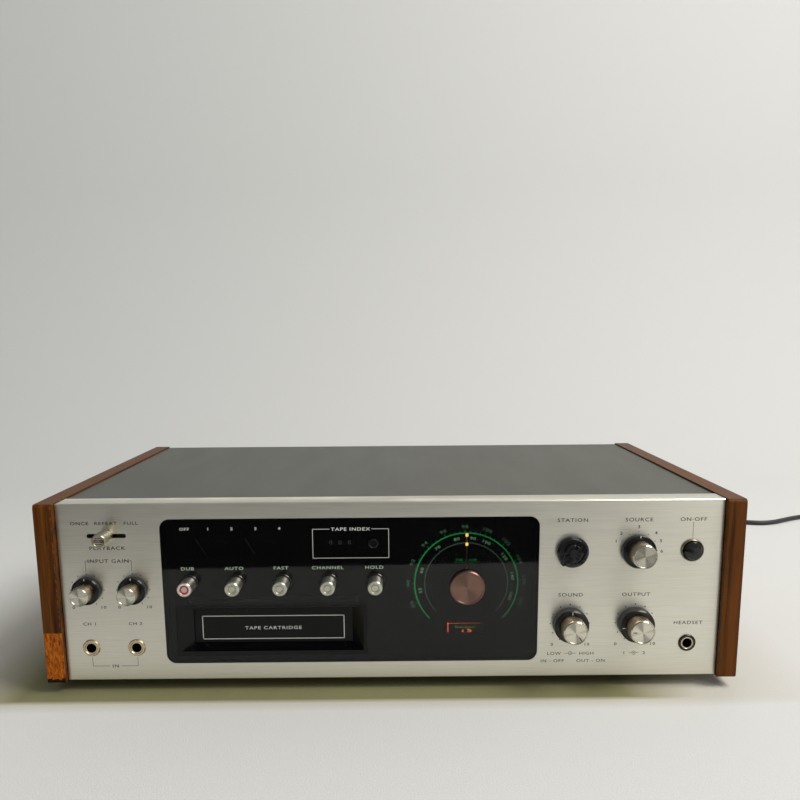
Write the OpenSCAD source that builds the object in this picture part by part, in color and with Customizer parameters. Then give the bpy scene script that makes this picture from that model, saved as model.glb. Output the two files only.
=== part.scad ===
// Eight track cartridge recorder with a built-in AM/FM receiver, in a wooden-sided case.
// Lengths are millimetres. X runs to the right seen from the front, Y to the back, Z up.
// Inside the case, places are counted from the middle of the cheeks' lower front edge.

/* [Case] */
// Overall width over the two wooden cheeks
body_w = 460; // [456:1:500]
// Height of the cheeks, without the feet
body_h = 122; // [121:1:140]
// Depth of the cheeks
body_d = 280; // [278:1:340]
// Thickness of a cheek
wood_t = 12; // [10:0.5:14]
// Corner radius of a cheek
cheek_r = 2.5; // [1:0.5:8]
// Sheet steel of the chassis, cover and rear panel
sheet_t = 1.2; // [0.8:0.1:1.6]
// How far the cover lies below the top of the cheeks
cover_drop = 1.3; // [0.5:0.1:4]
// Height of a rubber foot
foot_h = 7; // [4:0.5:15]
// Diameter of a rubber foot
foot_d = 24; // [16:1:34]
// Shank radius of the case screws
screw_r = 1.5; // [1:0.1:2]

/* [Front panel] */
// How far the panel sits behind the front edges of the cheeks
panel_set = 4.5; // [1:0.5:8]
// Thickness of the aluminium face
panel_t = 3; // [2:0.1:4]
// Depth of the top and bottom lips
lip_d = 18; // [17:0.5:24]
// Thickness of the lips
lip_t = 1.6; // [1:0.1:2.5]
// Gap between the panel's ends and the cheeks
panel_gap = 0.5; // [0.2:0.1:1]
// Depth from the panel's face to the steel plate that carries the controls
plate_set = 10.5; // [9.5:0.1:11.5]

/* [Window] */
// Middle of the smoked window, from the middle of the case
window_x = -26.7; // [-30:0.1:-24]
// Width of the window
window_w = 247.8; // [246:0.2:252]
// Height of the window
window_h = 98.8; // [97:0.2:102]
// Corner radius of the window
window_r = 6.5; // [3:0.5:10]
// How far the window lies behind the panel's face
window_set = 0.3; // [0.1:0.1:0.8]
// Wall and floor of the dial tray behind the window
tray_t = 1.5; // [1.2:0.1:2]

/* [Dial] */
// Middle of the dial, right of the middle of the window
dial_dx = 76.9; // [74:0.1:78]
// Middle of the dial, above the middle of the window
dial_dz = 1.9; // [0:0.1:3]
// Radius of the outer dial ring
fm_ring_r = 34.6; // [33:0.1:36]
// Radius of the inner dial ring
am_ring_r = 27.9; // [26:0.1:29]
// Half the sweep of the dial, in degrees
dial_half_sweep = 118; // [100:1:130]
// Diameter of the disc in the middle of the dial
cap_d = 23; // [16:0.5:30]
// How far that disc stands out of the panel's face
cap_out = 3; // [1.5:0.5:6]

/* [Cartridge door] */
// Middle of the cartridge mouth, left of the middle of the window
cart_dx = -53; // [-54:0.1:-52]
// Width of the bezel round the mouth
bezel_w = 126.6; // [126:0.1:130]
// Height of the bezel
bezel_h = 34; // [33.5:0.1:35]
// Bottom of the bezel above the bottom of the window
bezel_up = 5.4; // [4:0.1:6.5]
// Width of the mouth at the door
mouth_w = 106.7; // [105.5:0.1:107.2]
// Height of the mouth at the door
mouth_h = 24; // [23.6:0.1:24.4]
// Sill of the mouth above the bottom of the bezel
sill_up = 6; // [5:0.1:6.4]
// Thickness of the door
door_t = 2.2; // [1.6:0.1:2.6]
// Radius of the door's hinge barrel
hinge_r = 2; // [1.6:0.1:2.2]
// Radius of the door's pivot pins
hinge_pin_r = 1.2; // [0.8:0.1:1.4]

/* [Push buttons] */
// Distance between neighbouring buttons
button_pitch = 30.7; // [29:0.1:31]
// Middle button, left of the middle of the window
button_dx = -45; // [-47:0.1:-43]
// Row of buttons above the middle of the window
button_dz = 5.9; // [4:0.1:8]
// Radius of a button cap
button_r = 4.7; // [4:0.1:5]
// How far a cap stands out of the panel's face
button_out = 14; // [9:0.5:16]
// Travel of a button
button_travel = 4; // [2:0.5:5]

/* [Knobs] */
// Columns of the right-hand controls, from the middle of the case to the right cheek's outside
tune_inset = 111.3; // [110:0.1:112]
// The selector's column, from the right cheek's outside
selector_inset = 68; // [66:0.1:70]
// The power button's column, from the right cheek's outside
power_inset = 32.5; // [30:0.1:34]
// Upper row of controls, below the top of the cheeks
upper_drop = 34.7; // [33:0.1:37]
// Lower row of controls, above the bottom of the cheeks
lower_up = 37.7; // [36:0.1:40]
// Radius of the bare tuning knob
tune_knob_r = 10.4; // [9:0.1:12]
// Skirt radius of the selector knob
selector_skirt_r = 11; // [9:0.1:12]
// Cap radius of the selector knob
selector_cap_r = 7.85; // [6:0.05:8.5]
// How far the selector knob stands out of the panel's face
selector_out = 17; // [12:0.5:19]
// Radius of the outer rings of the double knobs
ring_r = 11.2; // [10:0.1:12]
// How far the outer rings stand out of the panel's face
ring_out = 8.5; // [6:0.5:10]
// Cap radius of the double knobs
dual_cap_r = 7.8; // [6:0.1:8.2]
// How far the double knobs stand out of the panel's face
dual_out = 19.5; // [17:0.5:24]
// How far the tone knob pulls out
pull_travel = 4; // [2:0.5:6]
// Middle of the recording controls, from the left cheek's outside
rec_inset = 44.6; // [43:0.1:46]
// Distance between the two recording level knobs, and between the microphone sockets
rec_pitch = 30.2; // [27:0.1:31]
// Recording level knobs above the bottom of the cheeks
rec_up = 63.5; // [60:0.1:68]
// Skirt radius of a recording level knob
rec_skirt_r = 9.2; // [8:0.1:10]
// Cap radius of a recording level knob
rec_cap_r = 6.1; // [5:0.1:7]
// How far a recording level knob stands out of the panel's face
rec_out = 16; // [12:0.5:18]
// Radius of the control shafts
shaft_r = 3; // [2.5:0.1:3.2]
// Radius of the power button
power_r = 6.2; // [5:0.1:6.6]
// How far the power button stands out of the panel's face
power_out = 4; // [3:0.5:6]
// Travel of the power button
power_travel = 3; // [1.5:0.5:3.5]

/* [Function lever] */
// Lever and slot, below the top of the cheeks
lever_drop = 21.9; // [20:0.1:24]
// Length of the slot
lever_slot_l = 25.7; // [24:0.1:28]
// Height of the slot
lever_slot_h = 2.9; // [2.4:0.1:4]
// Radius of the lever's round end
lever_r = 4.4; // [3.5:0.1:5]
// How far the lever stands out of the panel's face
lever_out = 15; // [10:0.5:18]
// Travel of the lever each way
lever_travel = 8.5; // [6:0.5:9]

/* [Sockets] */
// Height of the sockets above the bottom of the cheeks
jack_up = 23.4; // [20:0.1:26]
// Bore radius of a 6.35 mm socket
jack_bore_r = 3.25; // [3.2:0.01:3.4]
// Radius of a socket's nut
jack_nut_r = 5.8; // [5.2:0.1:6.5]
// Depth of a socket's bore from the face of its nut
jack_depth = 30; // [25:1:36]

/* [Tape counter] */
// Middle of the counter wheels, left of the middle of the window
counter_dx = -7.3; // [-9:0.1:-5]
// Counter row below the top of the window
counter_drop = 17; // [16:0.1:19]
// Radius of a counter wheel
wheel_r = 8.5; // [7:0.1:9]
// Distance between the counter wheels
wheel_pitch = 6.2; // [5.8:0.1:6.6]
// Reset button, right of the middle of the window
reset_dx = 15.2; // [14:0.1:17]
// Radius of the reset button
reset_r = 3.2; // [2.6:0.1:3.6]
// Travel of the reset button
reset_travel = 2.5; // [1.5:0.5:3]

/* [Meters] */
// Middle of the pair of level meters, left of the middle of the window
meters_dx = -77; // [-80:0.1:-74]
// Distance between the level meters
meter_pitch = 33; // [32:0.1:34]
// Level meters below the top of the window
meters_drop = 19; // [17:0.1:21]
// Width of a meter's face
meter_w = 26; // [22:0.5:28]
// Height of a level meter's face
meter_h = 15; // [12:0.5:16]
// Tuning meter below the middle of the dial
tune_meter_drop = 31.7; // [30:0.1:33]
// Height of the tuning meter's face
tune_meter_h = 9; // [7:0.5:10]

/* [Tuning drive] */
// Groove radius of the tuning spindle
spindle_r = 4; // [3.8:0.1:6]
// Groove radius of the pointer's pulley
pulley_r = 18; // [14:0.5:19]
// Groove radius of the capacitor's drum
drum_r = 23.6; // [20:0.2:25]
// Capacitor shaft, right of the dial's middle
tuner_dx = 45; // [44:0.5:47]
// Capacitor shaft, below the dial's middle
tuner_dz = -28; // [-29:0.5:-26]
// Radius of the tuning flywheel
tune_wheel_r = 22; // [14:0.5:23]
// Groove middle of the dial cord's run, from the panel's face
cord_run = 42; // [40:0.5:44]
// Thickness of the dial cord
dial_cord_t = 0.8; // [0.6:0.1:1.2]
// Number of moving vanes of the tuning capacitor
vanes = 10; // [6:1:11]
// Distance between neighbouring moving vanes
vane_pitch = 4; // [3.6:0.1:4.4]
// Thickness of a vane
vane_t = 1; // [0.6:0.1:1.2]
// Radius of the moving vanes
vane_r = 18; // [14:0.5:19]

/* [Tape transport] */
// Width of a tape cartridge
cartridge_w = 101.6; // [100:0.1:103]
// Thickness of a tape cartridge
cartridge_h = 22.6; // [22:0.1:22.8]
// Depth of the cartridge well behind the panel's face
well_d = 99.5; // [90:0.5:105]
// Sheet of the transport deck
deck_t = 2; // [1.6:0.1:2.4]
// Radius of the capstan flywheel
flywheel_r = 35; // [30:0.5:38]
// Thickness of the capstan flywheel
flywheel_t = 11; // [8:0.5:11.5]
// Radius of the capstan shaft
capstan_r = 2.5; // [2:0.1:3]
// Radius of the motor's can
motor_r = 19; // [15:0.5:20]
// Height of the motor's can
motor_h = 42; // [30:1:60]
// Radius of the motor pulley
motor_pulley_r = 6; // [5:0.5:9]
// Thickness of the drive belt
belt_t = 1.2; // [0.8:0.1:2]
// Travel of the tape head over the four programs
head_travel = 2.4; // [1.5:0.1:3]
// Radius of the head's guide post
post_r = 3; // [2:0.1:4]

/* [Power and boards] */
// Width of the transformer's core
core_w = 64; // [50:1:70]
// Height of the transformer's core
core_h = 54; // [40:1:64]
// Stack of the transformer's core
core_t = 34; // [24:1:40]
// Height of the circuit boards over the chassis floor
board_up = 8; // [5:0.5:12]
// Thickness of a circuit board
board_t = 1.6; // [1:0.1:2.4]
// Height of the heat sink's fins
fin_h = 42; // [25:1:60]

/* [Rear] */
// How far the rear sockets stand out of the rear panel
rear_out = 9; // [7:0.5:12]
// Outside radius of a signal socket
rca_r = 4.1; // [4:0.05:4.2]
// Distance between signal sockets
rca_pitch = 16; // [14:0.5:18]

/* [Mains lead] */
// Diameter of the lead
lead_d = 5.5; // [4.5:0.1:5.5]
// Length of the tapered strain relief behind the rear panel
relief_l = 25; // [20:1:40]
// Mean radius of the put-away coil
coil_r = 30; // [28:1:33]
// Turns of the coil in each of its two layers
coil_turns = 3; // [2:1:3]
// Distance between neighbouring turns
coil_pitch = 6.1; // [6.1:0.1:7]

/* [Hidden] */
$fn = 48;

// Clearances
run_gap = 0.05;     // radial gap of a shaft in its bore
slip_gap = 0.1;     // radial gap of a piece held in a hole
free_gap = 0.3;     // gap between moving pieces that only pass each other

// Case
inner_w = body_w - 2 * wood_t;
case_y = -(body_d - sheet_t + rear_out - (dual_out - panel_set)) / 2;
cover_top = body_h - cover_drop;
wall_top = cover_top - sheet_t;
rear_y = body_d - sheet_t;
chassis_y = panel_set + lip_d + 0.4;
panel_z0 = 0.5;
panel_z1 = body_h - 0.5;
panel_w = inner_w - 2 * panel_gap;
edge_bevel = 0.6;
foot_x = body_w / 2 - 40;
foot_y = [42, body_d - 35];
cover_screw_x = [-150, 0, 150];
cover_screw_z = cover_top - 8;
cheek_screw_y = [70, 210];
cheek_screw_z = 92;
screw_head_r = 2 * screw_r;
screw_head_t = 1.8;
screw_l = 8;

// Front stack, from the face of the panel backwards
face_y = panel_set;
panel_back = face_y + panel_t;
window_y = face_y + window_set;
plate_y0 = face_y + plate_set;
plate_y1 = plate_y0 + sheet_t;
tray_y = plate_y0 - tray_t;

// Places on the front
window_z = body_h / 2 + 0.4;
window_top = window_z + window_h / 2;
dial_x = window_x + dial_dx;
dial_z = window_z + dial_dz;
cart_x = window_x + cart_dx;
bezel_z0 = window_z - window_h / 2 + bezel_up;
bezel_z1 = bezel_z0 + bezel_h;
sill_z = bezel_z0 + sill_up;
mouth_top = sill_z + mouth_h;
button_x = [for (i = [-2:2]) window_x + button_dx + i * button_pitch];
button_z = window_z + button_dz;
tune_x = body_w / 2 - tune_inset;
selector_x = body_w / 2 - selector_inset;
power_x = body_w / 2 - power_inset;
upper_z = body_h - upper_drop;
lower_z = lower_up;
rec_x = rec_inset - body_w / 2;
rec_xs = [rec_x - rec_pitch / 2, rec_x + rec_pitch / 2];
lever_z = body_h - lever_drop;
counter_x = window_x + counter_dx;
counter_z = window_top - counter_drop;
reset_x = window_x + reset_dx;
meter_x = [window_x + meters_dx - meter_pitch / 2, window_x + meters_dx + meter_pitch / 2];
meter_z = window_top - meters_drop;
tune_meter_z = dial_z - tune_meter_drop;
meter_pivot = 15.8; // pivots below the middle of a meter's face
tune_pivot = 3;
needle_rest = 30;
meter_wall = 1.2;
meter_low = meter_z - meter_pivot - 1.8 - meter_wall;
bank_h = 2 * min(7, meter_low - free_gap - button_z);
knob_gap = 0.8;     // space between a knob and the panel

// Buttons
bezel_lip_r = 6.3;
bezel_barrel_r = 5.5;
bezel_bore_r = 5.2;
button_len = button_out + plate_set - 1;
stem_r = 2;
bank_y = plate_y1 + button_travel + 4;
bank_d = 30;

// Door
door_y = tray_y - 1;
door_gap = 0.3;
neck_y = door_y - door_gap;
door_w = mouth_w + 1.7;
door_over = 0.8;    // how far the door reaches below the mouth
hinge_z = mouth_top + 1.2;
hinge_y = door_y + hinge_r;
guide_w = door_w + 1.4;
deck_z1 = sill_z - 1.5;
deck_z0 = deck_z1 - deck_t;
floor_z = sill_z - 0.1;
floor_y = hinge_y + 7.5;
well_y = face_y + well_d;
roof_z = hinge_z + hinge_r + 1.8;

// Transport, placed from the cartridge's middle and the end of its well
transport_reach = [102, 78];
transport_span = [-4, 58];
capstan_off = [35, 9];
motor_off = [-74, 34];
head_off = [-5, 28];
rear_plate_x = [cart_x - transport_reach[0], cart_x + transport_reach[1]];
rear_plate_y = [for (s = transport_span) well_y + s];
capstan_x = cart_x + capstan_off[0];
capstan_y = well_y + capstan_off[1];
motor_x = cart_x + motor_off[0];
motor_y = well_y + motor_off[1];
head_x = cart_x + head_off[0];
head_y = well_y + head_off[1];
flywheel_z = sheet_t + 3.3;
belt_h = 6;
belt_z = flywheel_z + (flywheel_t - belt_h) / 2;
thrust_t = 0.8;

// Tuning drive
groove_y = face_y + cord_run;
tuner_x = dial_x + tuner_dx;
tuner_z = dial_z + tuner_dz;
spindle_centre = [tune_x, upper_z];
pointer_centre = [dial_x, dial_z];
tuner_centre = [tuner_x, tuner_z];
frame_y0 = groove_y + 9;
vane_y0 = frame_y0 + sheet_t + 3;
frame_y1 = vane_y0 + vanes * vane_pitch + 2;
frame_w = 2 * vane_r + 12;
pointer_shaft_r = 2.5;
wheel_groove_d = 1.4;
wheel_rim_t = 0.8;

// Boards
board_z = sheet_t + board_up;
board_gap = 3;      // between the main board and the transport
core_x = 48 - inner_w / 2;
core_y = body_d - 60;
main_board = [[core_x + 45, rear_plate_y[1] + board_gap], [inner_w / 2 - 18, body_d - 12]];
tuner_board = [[inner_w / 2 - 86, 62], [inner_w / 2 - 12, 150]];
standoff_r = 3.5;

// Rear
rca_x = -40;
rca_z = 40;
aerial_x = inner_w / 2 - 48;
aerial_z = 66;
lead_x = 150;
lead_z = 32;
relief_r = 6;

// Mains lead, in the frame of the whole object: the free stretch's own points
route = [[150, 180, 38], [150, 190, 36], [151, 202, 29], [153, 215, 19], [157, 229, 9],
    [164, 242, 3.6], [175, 255, 2.8], [192, 270, 2.8], [215, 286, 2.8], [242, 301, 2.8],
    [272, 315, 2.8], [304, 327, 2.8], [336, 337, 2.8], [366, 343, 2.8], [394, 345, 2.8],
    [418, 342, 2.8], [437, 336, 2.8], [454, 332, 2.8], [471, 336, 2.8], [489, 347, 2.8],
    [507, 358, 2.8], [527, 367, 2.8], [549, 372, 2.8], [570, 373, 2.8]];
coil_centre = [590, 373 - coil_r - coil_pitch * coil_turns / 2];
coil_z = lead_d / 2 + 0.05;
route_steps = 2;
lead_sides = 8;
coil_sides = 6;
coil_rings = 24;
plug_body = [34, 24, 14];
plug_lead = 12;

// ---------- shared shapes ----------

module at_case() translate([0, case_y, foot_h]) children();

module block(low, high) translate(low) cube(high - low);

// A flat shape drawn in X and Z, given a thickness along Y
module plate_y(y, t) translate([0, y + t, 0]) rotate([90, 0, 0]) linear_extrude(t) children();

// A flat shape drawn in Y and Z, given a thickness along X
module plate_x(x, t) translate([x, 0, 0]) rotate([90, 0, 90]) linear_extrude(t) children();

module rod_y(x, z, y0, y1, r) translate([x, y0, z]) rotate([-90, 0, 0]) cylinder(h = y1 - y0, r = r);

module rod_x(y, z, x0, x1, r) translate([x0, y, z]) rotate([0, 90, 0]) cylinder(h = x1 - x0, r = r);

module tube_y(x, z, y0, y1, r, bore) difference() {
    rod_y(x, z, y0, y1, r);
    rod_y(x, z, y0 - 1, y1 + 1, bore);
}

// A turned piece: its profile holds [radius, distance back]
module turned_y(x, z, y = 0) translate([x, y, z]) rotate([-90, 0, 0]) rotate_extrude() children();

module round_rect(w, h, r) {
    square([w, h - 2 * r], center = true);
    square([w - 2 * r, h], center = true);
    for (sx = [-1, 1], sz = [-1, 1])
        translate([sx * (w / 2 - r), sz * (h / 2 - r)]) circle(r);
}

module frame_rect(x, z, w, h) translate([x - w / 2, z - h / 2]) square([w, h]);

// Tangent loop round several circles [x, y, r] in counter-clockwise order, as points
function normal_angle(a, b) =
    let (d = [b[0] - a[0], b[1] - a[1]])
    atan2(d[1], d[0]) - acos((a[2] - b[2]) / norm(d));
function after(a, from) = a < from ? after(a + 360, from) : a >= from + 360 ? after(a - 360, from) : a;
function loop_points(c, grow, steps = 24) = [
    for (i = [0 : len(c) - 1])
        let (last = c[(i + len(c) - 1) % len(c)], next = c[(i + 1) % len(c)],
            a0 = normal_angle(last, c[i]), a1 = after(normal_angle(c[i], next), a0))
        for (k = [0 : steps])
            let (a = a0 + (a1 - a0) * k / steps)
            [c[i][0] + (c[i][2] + grow) * cos(a), c[i][1] + (c[i][2] + grow) * sin(a)]];
module loop_band(c, gap, t) difference() {
    polygon(loop_points(c, gap + t));
    polygon(loop_points(c, gap));
}

// ---------- case ----------

module side_panel(side) {
    color([0.42, 0.25, 0.15]) at_case() difference() {
        plate_x(side < 0 ? -body_w / 2 : body_w / 2 - wood_t, wood_t)
            translate([body_d / 2, body_h / 2]) round_rect(body_d, body_h, cheek_r);
        for (y = cheek_screw_y)
            rod_x(y, cheek_screw_z, side * inner_w / 2 - screw_l, side * inner_w / 2 + screw_l,
                screw_r + run_gap);
    }
}
module side_panel_left() side_panel(-1);
module side_panel_right() side_panel(1);

module top_cover() {
    flange_h = 12;
    flange_y = chassis_y + 20;
    color([0.42, 0.43, 0.41]) at_case() difference() {
        union() {
            block([-inner_w / 2 + 0.2, chassis_y, wall_top], [inner_w / 2 - 0.2, body_d, cover_top]);
            block([-inner_w / 2 + sheet_t + 0.2, rear_y, cover_top - 2 * flange_h],
                [inner_w / 2 - sheet_t - 0.2, body_d, cover_top - sheet_t / 2]);
            for (s = [-1, 1])
                translate([s * (inner_w / 2 - 1.5 * sheet_t - 0.2) - sheet_t / 2, flange_y, wall_top - flange_h])
                    cube([sheet_t, rear_y - sheet_t - 4 - flange_y, flange_h + sheet_t / 2]);
        }
        for (x = cover_screw_x)
            rod_y(x, cover_screw_z, rear_y - 1, body_d + 1, screw_r + slip_gap);
    }
}

module vent_slots(n, pitch, l, w)
    for (i = [0 : n - 1])
        translate([(i - (n - 1) / 2) * pitch, 0]) {
            square([w, l - w], center = true);
            for (s = [-1, 1]) translate([0, s * (l - w) / 2]) circle(w / 2, $fn = 24);
        }

module standoffs(board) {
    inset = 6;
    for (x = [board[0][0] + inset, board[1][0] - inset], y = [board[0][1] + inset, board[1][1] - inset])
        translate([x, y, sheet_t]) cylinder(h = board_up, r = standoff_r);
}

module chassis() {
    vent_w = 3;
    vent_l = 34;
    color([0.62, 0.63, 0.62]) at_case() {
        difference() {
            union() {
                linear_extrude(sheet_t) difference() {
                    translate([-inner_w / 2, chassis_y]) square([inner_w, rear_y - chassis_y]);
                    translate([20, body_d - 65]) vent_slots(14, 9, vent_l, vent_w);
                    translate([core_x, core_y]) vent_slots(3, 9, vent_l / 2, vent_w);
                }
                for (s = [-1, 1])
                    translate([s * (inner_w - sheet_t) / 2 - sheet_t / 2, chassis_y, 0])
                        cube([sheet_t, rear_y - chassis_y, wall_top]);
                translate([capstan_x, capstan_y, 0]) cylinder(h = sheet_t + thrust_t, r = 6);
                standoffs(main_board);
                standoffs(tuner_board);
            }
            for (s = [-1, 1], y = cheek_screw_y)
                rod_x(y, cheek_screw_z, s * inner_w / 2 - 2, s * inner_w / 2 + 2, screw_r + slip_gap);
        }
    }
}

module rear_panel() {
    half = inner_w / 2 - sheet_t;
    color([0.55, 0.56, 0.55]) at_case() plate_y(rear_y - sheet_t, sheet_t) difference() {
        translate([-half, sheet_t]) square([2 * half, wall_top - sheet_t]);
        for (x = cover_screw_x) translate([x, cover_screw_z]) circle(screw_r + slip_gap);
        translate([lead_x, lead_z]) circle(relief_r + slip_gap);
        translate([-150, 62]) vent_slots(9, 8, 44, 3);
        translate([60, 80]) vent_slots(16, 8, 26, 3);
    }
}

module front_panel() {
    color([0.80, 0.80, 0.76]) at_case() difference() {
        plate_x(-panel_w / 2, panel_w) polygon([
            [face_y + edge_bevel, panel_z0], [face_y + lip_d, panel_z0],
            [face_y + lip_d, panel_z0 + lip_t], [panel_back, panel_z0 + lip_t],
            [panel_back, panel_z1 - lip_t], [face_y + lip_d, panel_z1 - lip_t],
            [face_y + lip_d, panel_z1], [face_y + edge_bevel, panel_z1],
            [face_y, panel_z1 - edge_bevel], [face_y, panel_z0 + edge_bevel]]);
        plate_y(face_y - 1, panel_t + 2) {
            translate([window_x, window_z])
                round_rect(window_w + 2 * slip_gap, window_h + 2 * slip_gap, window_r + slip_gap);
            lever_slot(lever_slot_l, lever_slot_h);
            for (x = rec_xs) {
                translate([x, rec_up]) circle(shaft_r + 1);
                translate([x, jack_up]) circle(jack_nut_r - 1);
            }
            translate([power_x, jack_up]) circle(jack_nut_r - 1);
            translate([power_x, upper_z]) circle(power_r + 0.6);
            translate([tune_x, upper_z]) circle(shaft_r + 1);
            translate([selector_x, upper_z]) circle(shaft_r + 1);
            for (x = [tune_x, selector_x]) translate([x, lower_z]) circle(shaft_r + 2);
        }
    }
}

module lever_slot(l, h) translate([rec_x, lever_z]) {
    square([l - h, h], center = true);
    for (s = [-1, 1]) translate([s * (l - h) / 2, 0]) circle(h / 2);
}

module feet() {
    color([0.1, 0.1, 0.1])
    for (x = [-foot_x, foot_x], y = foot_y)
        translate([x, case_y + y, 0]) rotate_extrude() polygon([
            [0, 0], [foot_d / 2 - 1, 0], [foot_d / 2, 1], [foot_d / 2 - 1.5, foot_h], [0, foot_h]]);
}

module case_screw() {
    cylinder(h = screw_l, r = screw_r);
    translate([0, 0, -screw_head_t]) cylinder(h = screw_head_t, r1 = screw_head_r - 0.5, r2 = screw_head_r);
}
module case_screws() {
    color([0.25, 0.25, 0.25]) at_case() {
        for (x = cover_screw_x) translate([x, body_d, cover_screw_z]) rotate([90, 0, 0]) case_screw();
        for (s = [-1, 1], y = cheek_screw_y)
            translate([s * (inner_w / 2 - sheet_t), y, cheek_screw_z]) rotate([0, s * 90, 0]) case_screw();
    }
}

// ---------- front ----------

module smoked_window() {
    color([0.05, 0.05, 0.06]) at_case() plate_y(window_y, panel_back - window_y) difference() {
        translate([window_x, window_z]) round_rect(window_w, window_h, window_r);
        for (x = button_x) translate([x, button_z]) circle(bezel_barrel_r + slip_gap);
        translate([dial_x, dial_z]) circle(shaft_r + slip_gap);
        translate([reset_x, counter_z]) circle(reset_r + 0.2);
        frame_rect(cart_x, (bezel_z0 + bezel_z1) / 2, bezel_w + 2 * slip_gap, bezel_h + 2 * slip_gap);
    }
}

// The openings that the tray and the control plate share: views for the meters and the counter,
// and holes that the keys pass through
module front_openings(view_grow, key_grow) {
    for (x = meter_x) frame_rect(x, meter_z, meter_w + view_grow, meter_h + view_grow);
    frame_rect(dial_x, tune_meter_z, meter_w + view_grow, tune_meter_h + view_grow);
    frame_rect(counter_x, counter_z, 3 * wheel_pitch + view_grow, 11 + view_grow);
    for (x = button_x) translate([x, button_z]) circle(bezel_barrel_r + slip_gap + key_grow);
    translate([reset_x, counter_z]) circle(reset_r + 0.6 + key_grow);
}
module deck_opening()
    translate([cart_x - guide_w / 2 - deck_t - 0.6, deck_z0 - 0.6])
        square([guide_w + 2 * deck_t + 1.2, roof_z + deck_t - deck_z0 + 1.2]);

module dial_tray() {
    boss_r = 5;
    color([0.07, 0.07, 0.07]) at_case() difference() {
        union() {
            plate_y(tray_y, tray_t)
                translate([window_x, window_z]) round_rect(window_w + 3, window_h + 3, window_r + 1.5);
            plate_y(panel_back, tray_y - panel_back) translate([window_x, window_z]) difference() {
                round_rect(window_w + 3, window_h + 3, window_r + 1.5);
                round_rect(window_w - 3, window_h - 3, window_r - 1.5);
            }
            rod_y(dial_x, dial_z, plate_y0, plate_y1 + 5, boss_r);
        }
        plate_y(tray_y - 1, tray_t + 2) {
            front_openings(0, 0);
            deck_opening();
        }
        rod_y(dial_x, dial_z, tray_y - 1, plate_y1 + 6, pointer_shaft_r + run_gap);
        // the two shallow rings that the dial scales lie in
        for (r = [am_ring_r, fm_ring_r]) plate_y(tray_y - 0.5, 0.9) translate([dial_x, dial_z])
            difference() {
                circle(r + 0.6);
                circle(r - 0.6);
                translate([0, -1.1 * r]) square([1.4 * r, r], center = true);
            }
        // the rim makes way for the cartridge bezel
        plate_y(panel_back - 1, tray_y - panel_back + 1)
            frame_rect(cart_x, (bezel_z0 + bezel_z1) / 2, bezel_w + 2 * slip_gap, bezel_h + 2 * slip_gap);
    }
}

module sub_panel() {
    half = inner_w / 2 - sheet_t;
    flange_d = 24;
    bush_r = 5.5;
    color([0.66, 0.67, 0.64]) at_case() {
        difference() {
            union() {
                plate_y(plate_y0, sheet_t) translate([-half, panel_z0 + lip_t])
                    square([2 * half, panel_z1 - panel_z0 - 2 * lip_t]);
                for (s = [-1, 1])
                    translate([s * (half - sheet_t / 2) - sheet_t / 2, plate_y1, 12])
                        cube([sheet_t, flange_d, wall_top - 24]);
                rod_y(tune_x, upper_z, plate_y0 - 4, plate_y1 + 4, bush_r);
            }
            plate_y(plate_y0 - 1, sheet_t + 2) {
                front_openings(1.6, 2.6);
                deck_opening();
                translate([dial_x, dial_z]) circle(5 + slip_gap);
                lever_slot(lever_slot_l, lever_slot_h);
                for (x = rec_xs) {
                    translate([x, rec_up]) circle(4.6 + slip_gap);
                    translate([x, jack_up]) circle(jack_nut_r + 1.4);
                }
                translate([power_x, jack_up]) circle(jack_nut_r + 1.4);
                translate([power_x, upper_z]) circle(power_r + 1.8);
                translate([selector_x, upper_z]) circle(4.6 + slip_gap);
                for (x = [tune_x, selector_x]) translate([x, lower_z]) circle(5.5 + slip_gap);
            }
            rod_y(tune_x, upper_z, plate_y0 - 5, plate_y1 + 5, shaft_r + run_gap);
        }
    }
}

module cartridge_bezel() {
    mid_z = (bezel_z0 + bezel_z1) / 2;
    thin = 0.01;
    color([0.06, 0.06, 0.07]) at_case() difference() {
        plate_y(window_y, tray_y - window_y) frame_rect(cart_x, mid_z, bezel_w, bezel_h);
        hull() {
            plate_y(window_y - 1, thin)
                frame_rect(cart_x, mid_z + 0.6, bezel_w - 2, bezel_h - 3);
            plate_y(neck_y - 1, thin)
                frame_rect(cart_x, (sill_z + mouth_top) / 2, mouth_w, mouth_h);
        }
        plate_y(neck_y - 1.5, 3) frame_rect(cart_x, (sill_z + mouth_top) / 2, mouth_w, mouth_h);
        block([cart_x - guide_w / 2 - deck_t - 0.6, neck_y, bezel_z0 - 1],
            [cart_x + guide_w / 2 + deck_t + 0.6, tray_y + 1, bezel_z1 + 1]);
    }
}

module dial_cap() {
    color([0.72, 0.60, 0.52]) at_case() {
        turned_y(dial_x, dial_z, face_y - cap_out) polygon([
            [0, 0.3], [cap_d / 2 - 1.4, 0.3], [cap_d / 2 - 1.2, 0], [cap_d / 2 - 0.5, 0],
            [cap_d / 2, 0.5], [cap_d / 2, cap_out + window_set], [shaft_r, cap_out + window_set],
            [shaft_r, cap_out + panel_t + 1], [0, cap_out + panel_t + 1]]);
    }
}

module button_bezels() {
    color([0.08, 0.08, 0.08]) at_case() {
        for (x = button_x)
            turned_y(x, button_z) polygon([
                [bezel_bore_r, window_y - 1.3], [bezel_lip_r - 0.5, window_y - 1.3],
                [bezel_lip_r, window_y - 0.8], [bezel_lip_r, window_y],
                [bezel_barrel_r, window_y], [bezel_barrel_r, plate_y0], [bezel_bore_r, plate_y0]]);
        // the chromed ring of the power button
        turned_y(power_x, upper_z) polygon([
            [power_r + 0.3, face_y - 1.4], [power_r + 0.7, face_y - 1.8], [power_r + 1.2, face_y - 1.2],
            [power_r + 1.4, face_y], [power_r + 0.5, face_y], [power_r + 0.5, plate_y0],
            [power_r + 0.3, plate_y0]]);
    }
}

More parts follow.
